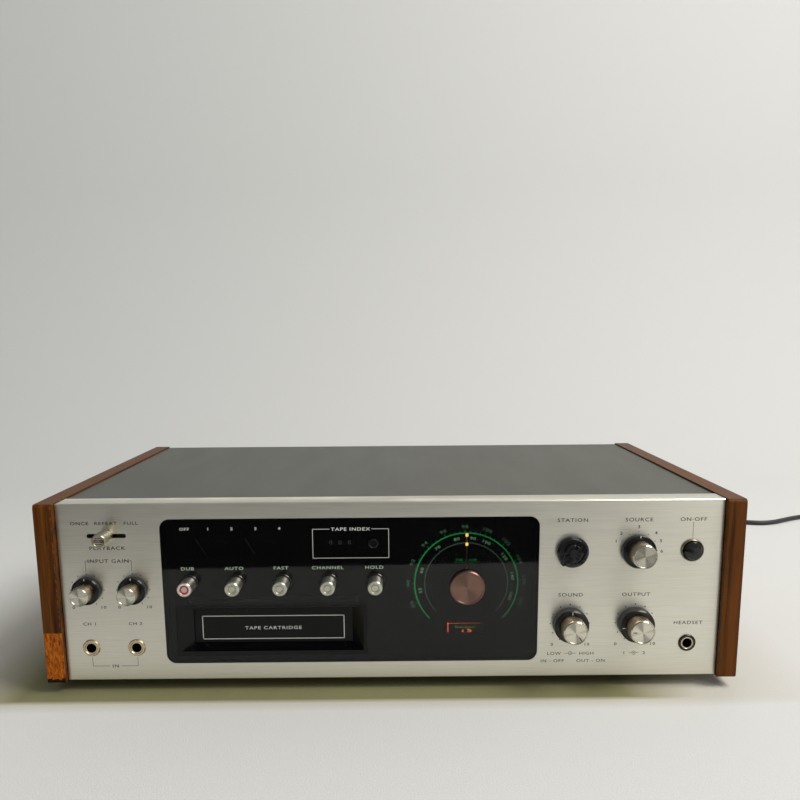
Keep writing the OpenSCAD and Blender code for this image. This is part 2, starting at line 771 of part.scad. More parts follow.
// A socket for a 6.35 mm plug, seen from its nut
module jack(x) {
    back = face_y - 1 + jack_depth;
    difference() {
        union() {
            turned_y(x, jack_up) polygon([
                [0, face_y - 0.6], [jack_bore_r + 0.7, face_y - 0.6], [jack_bore_r + 1, face_y - 1],
                [jack_nut_r - 0.6, face_y - 1], [jack_nut_r, face_y - 0.4], [jack_nut_r, face_y],
                [jack_nut_r - 1 - slip_gap, face_y], [jack_nut_r - 1 - slip_gap, panel_back], [0, panel_back]]);
            rod_y(x, jack_up, panel_back, back + 3, jack_nut_r + 1);
            // contact springs and solder tags
            for (s = [-1, 1]) block([x + s * 3 - 1, back + 3, jack_up + 1], [x + s * 3 + 1, back + 9, jack_up + 1.6]);
        }
        rod_y(x, jack_up, face_y - 2, back, jack_bore_r);
    }
}
module jacks() {
    color([0.70, 0.66, 0.55]) at_case() for (x = concat(rec_xs, [power_x])) jack(x);
}

// A control's housing with its threaded bush through the plate
module pot(x, z, can_r, depth, bush_r, bore) difference() {
    union() {
        rod_y(x, z, plate_y0 - 5, plate_y1, bush_r);
        rod_y(x, z, plate_y1, plate_y1 + depth, can_r);
        rod_y(x, z, plate_y1 + 0.2 * depth, plate_y1 + 0.4 * depth, can_r + 0.5);
        block([x - 7, plate_y1 + 0.3 * depth, z - can_r - 5], [x + 7, plate_y1 + 0.3 * depth + 1, z - can_r + 2]);
    }
    rod_y(x, z, plate_y0 - 6, plate_y1 + depth - 2, bore);
}

rotor_r = 8;
rotor_y = plate_y1 + 14;
rotor_t = 6;
dual_depth = 26;
dual_bore_r = shaft_r + 1.1;

module panel_controls() {
    color([0.50, 0.50, 0.48]) at_case() {
        for (x = rec_xs) pot(x, rec_up, 8.5, 14, 4.6, shaft_r + run_gap);
        difference() {
            pot(tune_x, lower_z, 13, dual_depth, 5.5, dual_bore_r + run_gap);
            rod_y(tune_x, lower_z, rotor_y - free_gap, rotor_y + rotor_t + free_gap, rotor_r + free_gap);
        }
        pot(selector_x, lower_z, 13, dual_depth, 5.5, dual_bore_r + run_gap);
        wafer_switch();
        push_bank();
        lever_switch();
        power_switch();
    }
}

// The selector's rotary switch: index plate, two wafers and their pillars
module wafer_switch() difference() {
    union() {
        rod_y(selector_x, upper_z, plate_y0 - 4, plate_y1, 4.6);
        for (y = [plate_y1, plate_y1 + 8, plate_y1 + 17]) rod_y(selector_x, upper_z, y, y + 1.6, 13);
        for (s = [-1, 1]) rod_y(selector_x + s * 10.5, upper_z, plate_y1, plate_y1 + 21, 1.3);
    }
    rod_y(selector_x, upper_z, plate_y0 - 5, plate_y1 + 22, shaft_r + run_gap);
}

module push_bank() difference() {
    first = button_x[0] - 9;
    last = button_x[4] + 9;
    union() {
        block([first, bank_y, button_z - bank_h / 2], [last, bank_y + bank_d, button_z + bank_h / 2]);
        for (x = [first, last - 3])
            block([x, plate_y1, button_z - bank_h / 2], [x + 3, bank_y, button_z + bank_h / 2]);
    }
    for (x = button_x) rod_y(x, button_z, bank_y - 1, bank_y + bank_d + 1, stem_r + run_gap);
}

tang_w = 6;
tang_h = 2.3;
switch_h = 12;
module lever_switch() difference() {
    l = lever_slot_l + 12;
    block([rec_x - l / 2, plate_y1, lever_z - switch_h / 2], [rec_x + l / 2, plate_y1 + 14, lever_z + switch_h / 2]);
    plate_y(plate_y1 - 1, 12) lever_slot(lever_slot_l, lever_slot_h);
}

module power_switch() difference() {
    union() {
        rod_y(power_x, upper_z, plate_y1, plate_y1 + 8, power_r + 2.6);
        block([power_x - 9, plate_y1 + 8, upper_z - 9], [power_x + 9, plate_y1 + 32, upper_z + 9]);
    }
    rod_y(power_x, upper_z, plate_y1 - 1, plate_y1 + 8, power_r + 0.6);
    rod_y(power_x, upper_z, plate_y1, plate_y1 + 30, stem_r + 0.5 + run_gap);
}

// A meter movement in its case: an open face in front, and a pivot for the needle low inside
meter_face_y = plate_y1 + 3;
pivot_r = 0.8;
module meter(x, z, h, drop) {
    low = z - drop - 1.8;
    high = z + h / 2;
    magnet_r = 5;
    difference() {
        plate_y(plate_y1, 15) translate([x - meter_w / 2 - meter_wall, low - meter_wall])
            square([meter_w + 2 * meter_wall, high - low + 2 * meter_wall]);
        plate_y(plate_y1 - 1, meter_face_y - plate_y1 + 1)
            translate([x - meter_w / 2, low]) square([meter_w, high - low]);
    }
    rod_y(x, z - drop, plate_y1 + 0.2, meter_face_y, pivot_r);
    rod_y(x, z, plate_y1 + 15, plate_y1 + 21, magnet_r);
}
module panel_meters() {
    color([0.12, 0.12, 0.12]) at_case() {
        for (x = meter_x) meter(x, meter_z, meter_h, meter_pivot);
        meter(dial_x, tune_meter_z, tune_meter_h, tune_pivot);
    }
}

// A needle on its hub, lying in front of the meter's face and leaning to its left stop
module needle(x, z, drop, len, angle) {
    needle_y = plate_y1 + 1.1;
    needle_t = 0.4;
    color("white") at_case() difference() {
        union() {
            rod_y(x, z - drop, needle_y - 0.4, meter_face_y - free_gap, 1.3);
            translate([x, needle_y, z - drop]) rotate([0, -angle, 0])
                translate([-0.25, 0, 0]) cube([0.5, needle_t, len]);
        }
        rod_y(x, z - drop, needle_y - 1, meter_face_y, pivot_r + run_gap);
    }
}
module left_needle() needle(meter_x[0], meter_z, meter_pivot, meter_pivot + meter_h / 2 - 2, needle_rest);
module right_needle() needle(meter_x[1], meter_z, meter_pivot, meter_pivot + meter_h / 2 - 2, needle_rest);
module tuning_needle()
    needle(dial_x, tune_meter_z, tune_pivot, tune_pivot + tune_meter_h / 2 - 1, needle_rest);

// ---------- cartridge door ----------

module cartridge_door() {
    bottom = sill_z - door_over;
    color([0.06, 0.06, 0.07]) at_case() {
        block([cart_x - door_w / 2, door_y, bottom], [cart_x + door_w / 2, door_y + door_t, hinge_z]);
        rod_x(hinge_y, hinge_z, cart_x - door_w / 2, cart_x + door_w / 2, hinge_r);
        rod_x(hinge_y, hinge_z, cart_x - guide_w / 2 - deck_t + 0.2, cart_x + guide_w / 2 + deck_t - 0.2, hinge_pin_r);
        // stiffening ribs on the back
        for (i = [-2:2])
            block([cart_x + i * door_w / 5 - 0.6, door_y + door_t - 0.1, bottom + 4],
                [cart_x + i * door_w / 5 + 0.6, door_y + door_t + 1, hinge_z - 4]);
    }
}

// ---------- knobs, buttons and levers ----------

module button(i) {
    y0 = face_y - button_out;
    color([0.82, 0.80, 0.72]) at_case() {
        turned_y(button_x[i], button_z, y0) polygon([
            [0, 0.5], [button_r - 1.9, 0.5], [button_r - 1.6, 0], [button_r - 0.5, 0], [button_r, 0.5],
            [button_r, button_len], [stem_r, button_len],
            [stem_r, bank_y - y0 + 20], [0, bank_y - y0 + 20]]);
    }
}
module rec_button() button(0);
module level_button() button(1);
module forward_button() button(2);
module program_button() button(3);
module pause_button() button(4);

module power_button() {
    y0 = face_y - power_out;
    len = power_out + plate_set + 3;
    color([0.09, 0.09, 0.10]) at_case()
        turned_y(power_x, upper_z, y0) polygon([
            [0, 0], [0.35 * power_r, 0.05], [0.65 * power_r, 0.3], [0.9 * power_r, 0.9], [power_r, 1.8],
            [power_r, len], [stem_r + 0.5, len], [stem_r + 0.5, len + 14], [0, len + 14]]);
}

module counter_reset() {
    y0 = window_y - 1.8;
    color([0.08, 0.08, 0.08]) at_case()
        turned_y(reset_x, counter_z, y0) polygon([
            [0, 0.4], [reset_r - 0.9, 0.4], [reset_r - 0.6, 0], [reset_r - 0.2, 0.1], [reset_r, 0.5],
            [reset_r, tray_y + 1 - y0], [reset_r / 2, tray_y + 1 - y0],
            [reset_r / 2, plate_y1 + 18 - y0], [0, plate_y1 + 18 - y0]]);
}

module function_lever() {
    y0 = face_y - lever_out;
    color([0.78, 0.76, 0.66]) at_case() {
        turned_y(rec_x, lever_z, y0) polygon([
            [0, 0.5], [lever_r - 1.2, 0.5], [lever_r - 1, 0], [lever_r - 0.3, 0], [lever_r, 0.4],
            [lever_r, lever_out - 1.4], [lever_r - 0.4, lever_out - 1], [0, lever_out - 1]]);
        block([rec_x - tang_w / 2, face_y - 1.2, lever_z - tang_h / 2],
            [rec_x + tang_w / 2, plate_y1 + 10, lever_z + tang_h / 2]);
    }
}

// A knob with a black skirt and a turned cap on a shaft that ends at shaft_y
module skirt_knob(x, z, skirt_r, skirt_out, cap_r, out, shaft_y) {
    y0 = face_y - out;
    color([0.80, 0.78, 0.72]) at_case()
        turned_y(x, z, y0) polygon([
            [0, 0.3], [cap_r - 1.1, 0.3], [cap_r - 0.9, 0], [cap_r - 0.5, 0], [cap_r, 0.5],
            [cap_r, out - skirt_out + 0.8], [skirt_r - 1.3, out - skirt_out + 0.8],
            [skirt_r - 1, out - skirt_out], [skirt_r - 0.4, out - skirt_out], [skirt_r, out - skirt_out + 0.6],
            [skirt_r, out - knob_gap], [shaft_r, out - knob_gap], [shaft_r, shaft_y - y0], [0, shaft_y - y0]]);
}
module rec_knob_left() skirt_knob(rec_xs[0], rec_up, rec_skirt_r, 4.5, rec_cap_r, rec_out, plate_y1 + 10);
module rec_knob_right() skirt_knob(rec_xs[1], rec_up, rec_skirt_r, 4.5, rec_cap_r, rec_out, plate_y1 + 10);
module selector_knob()
    skirt_knob(selector_x, upper_z, selector_skirt_r, 5, selector_cap_r, selector_out, plate_y1 + 21);

// The ring behind a double knob, with its hollow shaft
module dual_ring(x) {
    shaft_end = plate_y1 + 12;
    y0 = face_y - ring_out;
    color([0.08, 0.08, 0.08]) at_case()
        turned_y(x, lower_z) polygon([
            [shaft_r + run_gap, y0 + 5], [dual_cap_r + 0.4, y0 + 5], [dual_cap_r + 0.4, y0],
            [ring_r - 0.8, y0], [ring_r, y0 + 0.8], [ring_r, face_y - knob_gap],
            [dual_bore_r, face_y - knob_gap], [dual_bore_r, shaft_end], [shaft_r + run_gap, shaft_end]]);
}
module tone_ring() dual_ring(tune_x);
module volume_ring() dual_ring(selector_x);

// The inner knob, running inside the ring and its hollow shaft
module dual_cap(x, shaft_end) {
    y0 = face_y - dual_out;
    back = dual_out - ring_out + 5 - free_gap;
    color([0.80, 0.78, 0.72]) at_case()
        turned_y(x, lower_z, y0) polygon([
            [0, 0.3], [dual_cap_r - 1.1, 0.3], [dual_cap_r - 0.9, 0], [dual_cap_r - 0.5, 0], [dual_cap_r, 0.5],
            [dual_cap_r, back], [shaft_r, back], [shaft_r, shaft_end - y0], [0, shaft_end - y0]]);
}
module tone_knob() dual_cap(tune_x, rotor_y + rotor_t + pull_travel / 4);
module volume_knob() dual_cap(selector_x, plate_y1 + dual_depth - 3);
module tone_rotor() {
    color([0.30, 0.20, 0.12]) at_case()
        tube_y(tune_x, lower_z, rotor_y, rotor_y + rotor_t, rotor_r, shaft_r + run_gap);
}

// The tuning knob as it is: its metal cap is gone and the stepped black core shows
module tuning_knob() {
    y0 = face_y - 7.5;
    core_r = 5.6;
    color([0.07, 0.07, 0.07]) at_case() difference() {
        union() {
            turned_y(tune_x, upper_z, y0) polygon([
                [0, 1], [core_r - 0.6, 1], [core_r, 1.6], [core_r, 3.4], [core_r + 2, 3.4],
                [core_r + 2, 2.4], [tune_knob_r - 1.6, 2.4], [tune_knob_r - 1.2, 3.6], [tune_knob_r, 4.2],
                [tune_knob_r, 7.5 - knob_gap], [0, 7.5 - knob_gap]]);
            rotate_about(tune_x, upper_z, 40)
                block([-1.2, y0 + 2.8, -tune_knob_r - 0.6], [1.2, y0 + 6.4, -tune_knob_r + 2]);
        }
        for (a = [20, 140, 260]) rotate_about(tune_x, upper_z, a)
            block([-1, y0, 1.8], [1, y0 + 2.6, core_r + 1]);
        rod_y(tune_x, upper_z, y0 - 1, face_y, shaft_r);
    }
}
module rotate_about(x, z, a) translate([x, 0, z]) rotate([0, a, 0]) children();

// ---------- tuning drive ----------

module grooved_wheel(c, r) {
    half = 3;
    rim = r + wheel_groove_d;
    turned_y(c[0], c[1], groove_y) polygon([
        [0, -half], [rim, -half], [rim, -half + wheel_rim_t], [r, -wheel_rim_t],
        [r, wheel_rim_t], [rim, half - wheel_rim_t], [rim, half], [0, half]]);
}

module tuning_shaft() {
    wheel_y = plate_y1 + 6;
    color([0.72, 0.72, 0.70]) at_case() {
        rod_y(tune_x, upper_z, face_y - 7.2, frame_y0 + sheet_t + 1, shaft_r);
        grooved_wheel(spindle_centre, spindle_r);
        turned_y(tune_x, upper_z, wheel_y) polygon([
            [0, 0], [7, 0], [7, 2.5], [tune_wheel_r - 5, 2.5], [tune_wheel_r - 5, 0], [tune_wheel_r, 0],
            [tune_wheel_r, 9], [tune_wheel_r - 5, 9], [tune_wheel_r - 5, 6.5], [7, 6.5], [7, 9], [0, 9]]);
    }
}

module dial_pointer() {
    arm_y = panel_back + 2.8;
    hub_y = arm_y - 0.6;
    color([0.75, 0.72, 0.55]) at_case() {
        rod_y(dial_x, dial_z, hub_y, frame_y0 + sheet_t + 1, pointer_shaft_r);
        rod_y(dial_x, dial_z, hub_y, tray_y - free_gap, 4);
        block([dial_x - 0.5, arm_y, dial_z + 3], [dial_x + 0.5, arm_y + 0.8, dial_z + fm_ring_r - 1.5]);
        grooved_wheel(pointer_centre, pulley_r);
    }
}

module dial_cord() {
    color([0.75, 0.72, 0.62]) at_case() plate_y(groove_y - dial_cord_t / 2, dial_cord_t)
        loop_band([concat(tuner_centre, [drum_r]), concat(spindle_centre, [spindle_r]),
            concat(pointer_centre, [pulley_r])], free_gap, dial_cord_t);
}

// A half disc on the capacitor's shaft, straight edge along angle a
module half_disc(r, a) rotate(a) difference() {
    circle(r);
    translate([-r - 1, -2 * r - 2]) square([2 * r + 2, 2 * r + 2]);
}

module capacitor_rotor() {
    color([0.78, 0.78, 0.76]) at_case() {
        rod_y(tuner_x, tuner_z, groove_y - 4, frame_y1 + sheet_t + 1, shaft_r);
        grooved_wheel(tuner_centre, drum_r);
        for (i = [0 : vanes - 1])
            plate_y(vane_y0 + i * vane_pitch, vane_t) translate(tuner_centre) {
                half_disc(vane_r, 0);
                circle(shaft_r + 1.5);
            }
    }
}

module frame_plate(y, bores) plate_y(y, sheet_t) difference() {
    union() {
        translate([tuner_x - frame_w / 2, sheet_t]) square([frame_w, tuner_z + vane_r + 5 - sheet_t]);
        children();
    }
    for (b = bores) translate([b[0], b[1]]) circle(b[2] + run_gap);
}

module tuning_capacitor() {
    arm = 16;
    stator_in = shaft_r + 3.5;
    rail = 3;
    color([0.68, 0.68, 0.66]) at_case() {
        frame_plate(frame_y0, [[tuner_x, tuner_z, shaft_r], [dial_x, dial_z, pointer_shaft_r],
            [tune_x, upper_z, shaft_r]]) {
            for (c = [pointer_centre, spindle_centre]) translate(c) circle(arm / 2);
            polygon([[dial_x - arm / 2, dial_z], [dial_x - arm / 2, tuner_z], [tuner_x, tuner_z], [tuner_x, dial_z + arm / 2], [dial_x, dial_z + arm / 2]]);
            polygon([[tune_x - arm / 2, upper_z], [tuner_x - arm / 2, tuner_z], [tuner_x + arm, tuner_z], [tune_x + arm / 2, upper_z]]);
        }
        frame_plate(frame_y1, [[tuner_x, tuner_z, shaft_r]]);
        // two insulated rails carry the fixed vanes between the end plates
        for (z = [-1, 1])
            translate([tuner_x - vane_r - rail - 0.4, frame_y0 + sheet_t, tuner_z + z * 9 - rail / 2])
                cube([rail, frame_y1 - frame_y0 - sheet_t, rail]);
        for (i = [0 : vanes - 2])
            plate_y(vane_y0 + (i + 0.5) * vane_pitch, vane_t) translate(tuner_centre) difference() {
                half_disc(vane_r + rail + 0.5, 90);
                circle(stator_in);
            }
        // the frame's floor, on the chassis
        block([tuner_x - frame_w / 2, frame_y0 + sheet_t, sheet_t],
            [tuner_x + frame_w / 2, frame_y1, 2 * sheet_t]);
    }
}

// ---------- tape counter ----------

axle_r = 1.5;
axle_y = plate_y0 + free_gap + wheel_r;
module tape_counter() {
    w = 3 * wheel_pitch + 4;
    x0 = counter_x - w / 2;
    x1 = counter_x + w / 2;
    wall = 1.6;
    back = axle_y + wheel_r + 2;
    half = wheel_r + 2.6;
    color([0.15, 0.15, 0.16]) at_case() {
        for (x = [x0 - wall, x1])
            translate([x, plate_y1, counter_z - half]) cube([wall, back - plate_y1, 2 * half]);
        block([x0, back - wall, counter_z - half], [x1, back, counter_z + half]);
        rod_x(axle_y, counter_z, x0, x1, axle_r);
        // the arm that guides the reset button
        difference() {
            block([x1 + wall - 0.01, plate_y1 + 5, counter_z - 5], [reset_x + 5, plate_y1 + 16, counter_z + 5]);
            rod_y(reset_x, counter_z, plate_y1, plate_y1 + 20, reset_r / 2 + run_gap);
        }
    }
}
module counter_wheel(i) {
    x = counter_x + i * wheel_pitch;
    half = wheel_pitch / 2 - 0.2;
    color([0.10, 0.10, 0.10]) at_case() difference() {
        rod_x(axle_y, counter_z, x - half, x + half, wheel_r);
        rod_x(axle_y, counter_z, x - half - 1, x + half + 1, axle_r + run_gap);
    }
}
module counter_hundreds() counter_wheel(-1);
module counter_tens() counter_wheel(0);
module counter_units() counter_wheel(1);

// ---------- tape transport ----------

module transport_deck() {
    side = guide_w / 2;
    rail_w = side - cartridge_w / 2 - 0.4;
    leg = 7;
    front_leg_y = chassis_y + 1;
    rail_y = hinge_y + 20;
    color([0.58, 0.59, 0.60]) at_case() difference() {
        union() {
            // front floor, raised floor and the rear plate
            block([cart_x - side - deck_t, door_y, deck_z0], [cart_x + side + deck_t, well_y, deck_z1]);
            block([cart_x - side, floor_y, deck_z1], [cart_x + side, well_y, floor_z]);
            block([rear_plate_x[0], rear_plate_y[0], deck_z0], [rear_plate_x[1], rear_plate_y[1], deck_z1]);
            for (s = [-1, 1]) {
                translate([cart_x + s * (side + deck_t / 2) - deck_t / 2, door_y, deck_z0])
                    cube([deck_t, well_y - door_y, roof_z + deck_t - deck_z0]);
                translate([cart_x + s * (side - rail_w / 2) - rail_w / 2, rail_y, floor_z])
                    cube([rail_w, well_y - rail_y, 6]);
            }
            block([cart_x - side, plate_y1 + 1, roof_z], [cart_x + side, well_y, roof_z + deck_t]);
            // legs on the chassis floor
            for (x = [cart_x - side - deck_t, cart_x + side + deck_t - leg])
                block([x, front_leg_y, sheet_t], [x + leg, front_leg_y + leg, deck_z0]);
            for (x = [rear_plate_x[0], rear_plate_x[1] - leg])
                block([x, rear_plate_y[1] - leg, sheet_t], [x + leg, rear_plate_y[1], deck_z0]);
            // the capstan's bearing and the head's guide post
            translate([capstan_x, capstan_y, deck_z1]) cylinder(h = 7, r = capstan_r + 3);
            translate([head_x, head_y, deck_z1]) cylinder(h = 34, r = post_r);
        }
        translate([capstan_x, capstan_y, deck_z0 - 1]) cylinder(h = 20, r = capstan_r + run_gap);
        translate([motor_x, motor_y, deck_z0 - 1]) cylinder(h = 10, r = motor_pulley_r + 2);
        rod_x(hinge_y, hinge_z, cart_x - side - deck_t - 1, cart_x + side + deck_t + 1, hinge_pin_r + run_gap);
    }
}

module tape_head() {
    low = deck_z1 + free_gap;
    face_r = 11;
    color([0.70, 0.70, 0.72]) at_case() difference() {
        union() {
            block([head_x - 6, head_y - 6, low], [head_x + 6, head_y + 6, low + 18]);
            block([head_x - 4, head_y - 18, low + 3], [head_x + 4, head_y - 6, low + 14]);
            intersection() {
                block([head_x - 8, head_y - 26, low + 2], [head_x + 8, head_y - 14, low + 16]);
                translate([head_x, head_y - 26 + face_r, low]) cylinder(h = 20, r = face_r);
            }
        }
        translate([head_x, head_y, low - 1]) cylinder(h = 40, r = post_r + run_gap);
    }
}

module capstan() {
    hub_r = 9;
    web_t = 4;
    color([0.74, 0.74, 0.76]) at_case() translate([capstan_x, capstan_y, 0]) rotate_extrude() polygon([
        [0, sheet_t + thrust_t + free_gap], [capstan_r, sheet_t + thrust_t + free_gap], [capstan_r, flywheel_z],
        [hub_r, flywheel_z], [hub_r, flywheel_z + 2], [flywheel_r - 8, flywheel_z + 2],
        [flywheel_r - 8, flywheel_z], [flywheel_r, flywheel_z], [flywheel_r, flywheel_z + flywheel_t],
        [flywheel_r - 8, flywheel_z + flywheel_t], [flywheel_r - 8, flywheel_z + 2 + web_t],
        [hub_r, flywheel_z + 2 + web_t], [hub_r, flywheel_z + flywheel_t],
        [capstan_r, flywheel_z + flywheel_t], [capstan_r, deck_z1 + 24], [0, deck_z1 + 24]]);
}

module drive_belt() {
    color([0.08, 0.08, 0.08]) at_case() translate([0, 0, belt_z]) linear_extrude(belt_h)
        loop_band([[capstan_x, capstan_y, flywheel_r], [motor_x, motor_y, motor_pulley_r]], free_gap, belt_t);
}

module drive_motor() {
    color([0.60, 0.60, 0.58]) at_case() translate([motor_x, motor_y, deck_z1]) difference() {
        union() {
            cylinder(h = motor_h, r = motor_r);
            translate([0, 0, motor_h]) cylinder(h = 3, r = 6);
        }
        translate([0, 0, -1]) cylinder(h = 22, r = axle_r + run_gap);
        translate([0, 0, -1]) cylinder(h = 3, r = 5);
    }
}
module motor_pulley() {
    rim = motor_pulley_r + 1.2;
    low = belt_z - 1.2;
    high = belt_z + belt_h + 1.2;
    color([0.80, 0.68, 0.35]) at_case() translate([motor_x, motor_y, 0]) rotate_extrude() polygon([
        [0, low - 0.8], [rim, low - 0.8], [rim, low], [motor_pulley_r, low], [motor_pulley_r, high],
        [rim, high], [rim, high + 0.8], [axle_r, high + 0.8], [axle_r, deck_z1 + 18], [0, deck_z1 + 18]]);
}

// ---------- power supply and boards ----------

module power_transformer() {
    bell = 9;
    base = sheet_t;
    foot_w = core_w + 22;
    color([0.35, 0.33, 0.30]) at_case() translate([core_x, core_y, base]) {
        translate([0, 0, core_h / 2]) cube([core_w, core_t, core_h], center = true);
        translate([-foot_w / 2, -core_t / 2 - 3, 0]) cube([foot_w, core_t + 6, 1.6]);
        // the winding's bell covers on both sides
        for (s = [-1, 1]) translate([0, s * core_t / 2, core_h / 2]) rotate([-90 * s, 0, 0])
            difference() {
                cylinder(h = bell, r = 0.36 * core_w);
                translate([0, 0, bell]) rotate_extrude() translate([0.36 * core_w, 0]) circle(4);
            }
    }
}

module can(x, y, r, h) translate([x, y, board_z + board_t]) {
    cylinder(h = h, r = r);
    translate([0, 0, h]) cylinder(h = 0.8, r = r - 1.5);
}
module circuit_boards() {
    fin_t = 1.6;
    fin_pitch = 7;
    fins = 11;
    sink = [110, main_board[1][1] - 26];
    cans_y = main_board[0][1] + 31;
    top = board_z + board_t;
    color([0.45, 0.33, 0.16]) at_case() {
        for (b = [main_board, tuner_board])
            translate([b[0][0], b[0][1], board_z]) cube([b[1][0] - b[0][0], b[1][1] - b[0][1], board_t]);
        for (i = [0:1]) can(main_board[0][0] + 25 + i * 34, cans_y, 13, 40);
        for (i = [0:4]) can(-20 + i * 18, cans_y - 11, 5, 14);
        for (i = [0:2], j = [0:1])
            translate([tuner_board[0][0] + 14 + i * 22, tuner_board[0][1] + 26 + j * 36, top]) cube([10, 10, 13]);
        // heat sink with its fins, standing on the main board
        translate([sink[0] - fins * fin_pitch / 2, sink[1], top]) linear_extrude(fin_h) {
            square([(fins - 1) * fin_pitch + fin_t, 3]);
            for (i = [0 : fins - 1]) translate([i * fin_pitch, -22]) square([fin_t, 24]);
        }
    }
}

// ---------- rear ----------

module rear_connectors() {
    pad = 1.5;
    color([0.16, 0.14, 0.12]) at_case() {
        // six signal sockets on their insulating strip
        difference() {
            union() {
                plate_y(rear_y, pad) frame_rect(rca_x, rca_z, 3 * rca_pitch + 4, 2 * rca_pitch + 4);
                for (i = [-1:1], j = [-0.5, 0.5])
                    turned_y(rca_x + i * rca_pitch, rca_z + j * rca_pitch, rear_y) polygon([
                        [0, 0], [rca_r + 1.4, 0], [rca_r + 1.4, 2.4], [rca_r, 2.4], [rca_r, rear_out - 0.4],
                        [rca_r - 0.4, rear_out], [0, rear_out]]);
            }
            for (i = [-1:1], j = [-0.5, 0.5])
                rod_y(rca_x + i * rca_pitch, rca_z + j * rca_pitch, rear_y + 2, rear_y + rear_out + 1, 1.7);
        }
        // speaker push terminals
        difference() {
            block([62, rear_y, 18], [126, rear_y + 8, 40]);
            for (i = [0:3]) rod_y(70 + i * 16, 23, rear_y + 3, rear_y + 9, 1.6);
        }
        for (i = [0:3]) block([66 + i * 16, rear_y + 8, 29], [74 + i * 16, rear_y + rear_out, 38]);
        // aerial screw terminals
        plate_y(rear_y, pad) frame_rect(aerial_x, aerial_z, 60, 14);
        for (x = [for (i = [-1.5:1:1.5]) aerial_x + i * 14]) difference() {
            rod_y(x, aerial_z, rear_y + pad, rear_y + 6, 3.6);
            block([x - 4, rear_y + 5, aerial_z - 0.4], [x + 4, rear_y + 7, aerial_z + 0.4]);
        }
    }
}

module strain_relief() {
    color([0.12, 0.12, 0.12]) at_case()
        turned_y(lead_x, lead_z, rear_y) polygon([
            [0, -sheet_t - 3], [relief_r, -sheet_t - 3], [relief_r, 0], [relief_r + 2.5, 0],
            [relief_r + 2.5, 2], [relief_r - 0.5, 3], [lead_d / 2 + 1, relief_l], [0, relief_l]]);
}

// ---------- mains lead ----------

function spline(p, i, t) =
    let (n = len(p) - 1, a = p[max(i - 1, 0)], b = p[i], c = p[min(i + 1, n)], d = p[min(i + 2, n)])
    0.5 * ((2 * b) + (c - a) * t + (2 * a - 5 * b + 4 * c - d) * t * t + (3 * b - a - 3 * c + d) * t * t * t);
function smooth(p, steps) = concat(
    [for (i = [0 : len(p) - 2], k = [0 : steps - 1]) spline(p, i, k / steps)], [p[len(p) - 1]]);
function heading(p, i) =
    let (v = p[min(i + 1, len(p) - 1)] - p[max(i - 1, 0)]) v / norm(v);
// One ring of a tube, square to the path, its first corner kept upwards
function ring(p, i, r, sides, t) =
    let (side = cross(t, [0, 0, 1]), u = side / norm(side), v = cross(u, t))
    [for (k = [0 : sides - 1]) p[i] + r * (cos(360 * k / sides) * u + sin(360 * k / sides) * v)];
function tube_faces(n, sides) = concat(
    [[for (k = [0 : sides - 1]) k]],
    [for (i = [0 : n - 2], k = [0 : sides - 1])
        let (a = i * sides + k, b = i * sides + (k + 1) % sides) each [[a, a + sides, b], [b, a + sides, b + sides]]],
    [[for (k = [sides - 1 : -1 : 0]) (n - 1) * sides + k]]);
module swept(p, r, sides, first, last) {
    n = len(p);
    rings = [for (i = [0 : n - 1])
        ring(p, i, r, sides, i == 0 ? first : i == n - 1 ? last : heading(p, i))];
    polyhedron(points = [for (q = rings) each q], faces = tube_faces(n, sides), convexity = 8);
}

relief_end = [lead_x, case_y + rear_y + relief_l, foot_h + lead_z];
coil_out = coil_r + coil_pitch * coil_turns / 2;
coil_start = [coil_centre[0], coil_centre[1] + coil_out, coil_z];
lead_path = smooth(concat([relief_end], route, [coil_start - [lead_d, 0, 0], coil_start]), route_steps);

// Counted in half turns, the coil runs in at a steady rate, climbs a layer in the half turn where
// it reverses, and runs out again
half_turns = 4 * coil_turns - 1;
function coil_radius(h) = coil_out - coil_pitch / 2 * (half_turns / 2 - abs(h - half_turns / 2));
function coil_layer(h) = min(1, max(0, h - (half_turns - 1) / 2));
function coil_point(h) =
    let (a = 90 - 180 * h, r = coil_radius(h))
    [coil_centre[0] + r * cos(a), coil_centre[1] + r * sin(a), coil_z + coil_pitch * coil_layer(h)];
coil_loops = [for (k = [2 : coil_rings / 2 * half_turns]) coil_point(2 * k / coil_rings)];
coil_end = coil_loops[len(coil_loops) - 1];
tail = [coil_end + [-6, 0.3, 0], coil_end + [-16, 1.5, -0.7], coil_end + [-28, 1, -1.9]];
coil_path = concat([coil_start, coil_start + [lead_d, 0, 0]], coil_loops, tail);
plug_at = coil_path[len(coil_path) - 1];
coil_gap = min([for (i = [0 : len(coil_path) - 1])
    for (k = [i + coil_rings / 2 : len(coil_path) - 1]) norm(coil_path[i] - coil_path[k])]) - lead_d;
function run_length(p) = [for (i = [1 : len(p) - 1]) norm(p[i] - p[i - 1])] * [for (i = [1 : len(p) - 1]) 1];
echo(coil_gap_mm = coil_gap, lead_mm = run_length(lead_path) + run_length(coil_path));

module cord() color([0.2, 0.2, 0.2]) swept(lead_path, lead_d / 2, lead_sides, [0, 1, 0], [1, 0, 0]);
module cord_coil() color([0.2, 0.2, 0.2]) swept(coil_path, lead_d / 2, coil_sides, [1, 0, 0], [-1, 0, 0]);

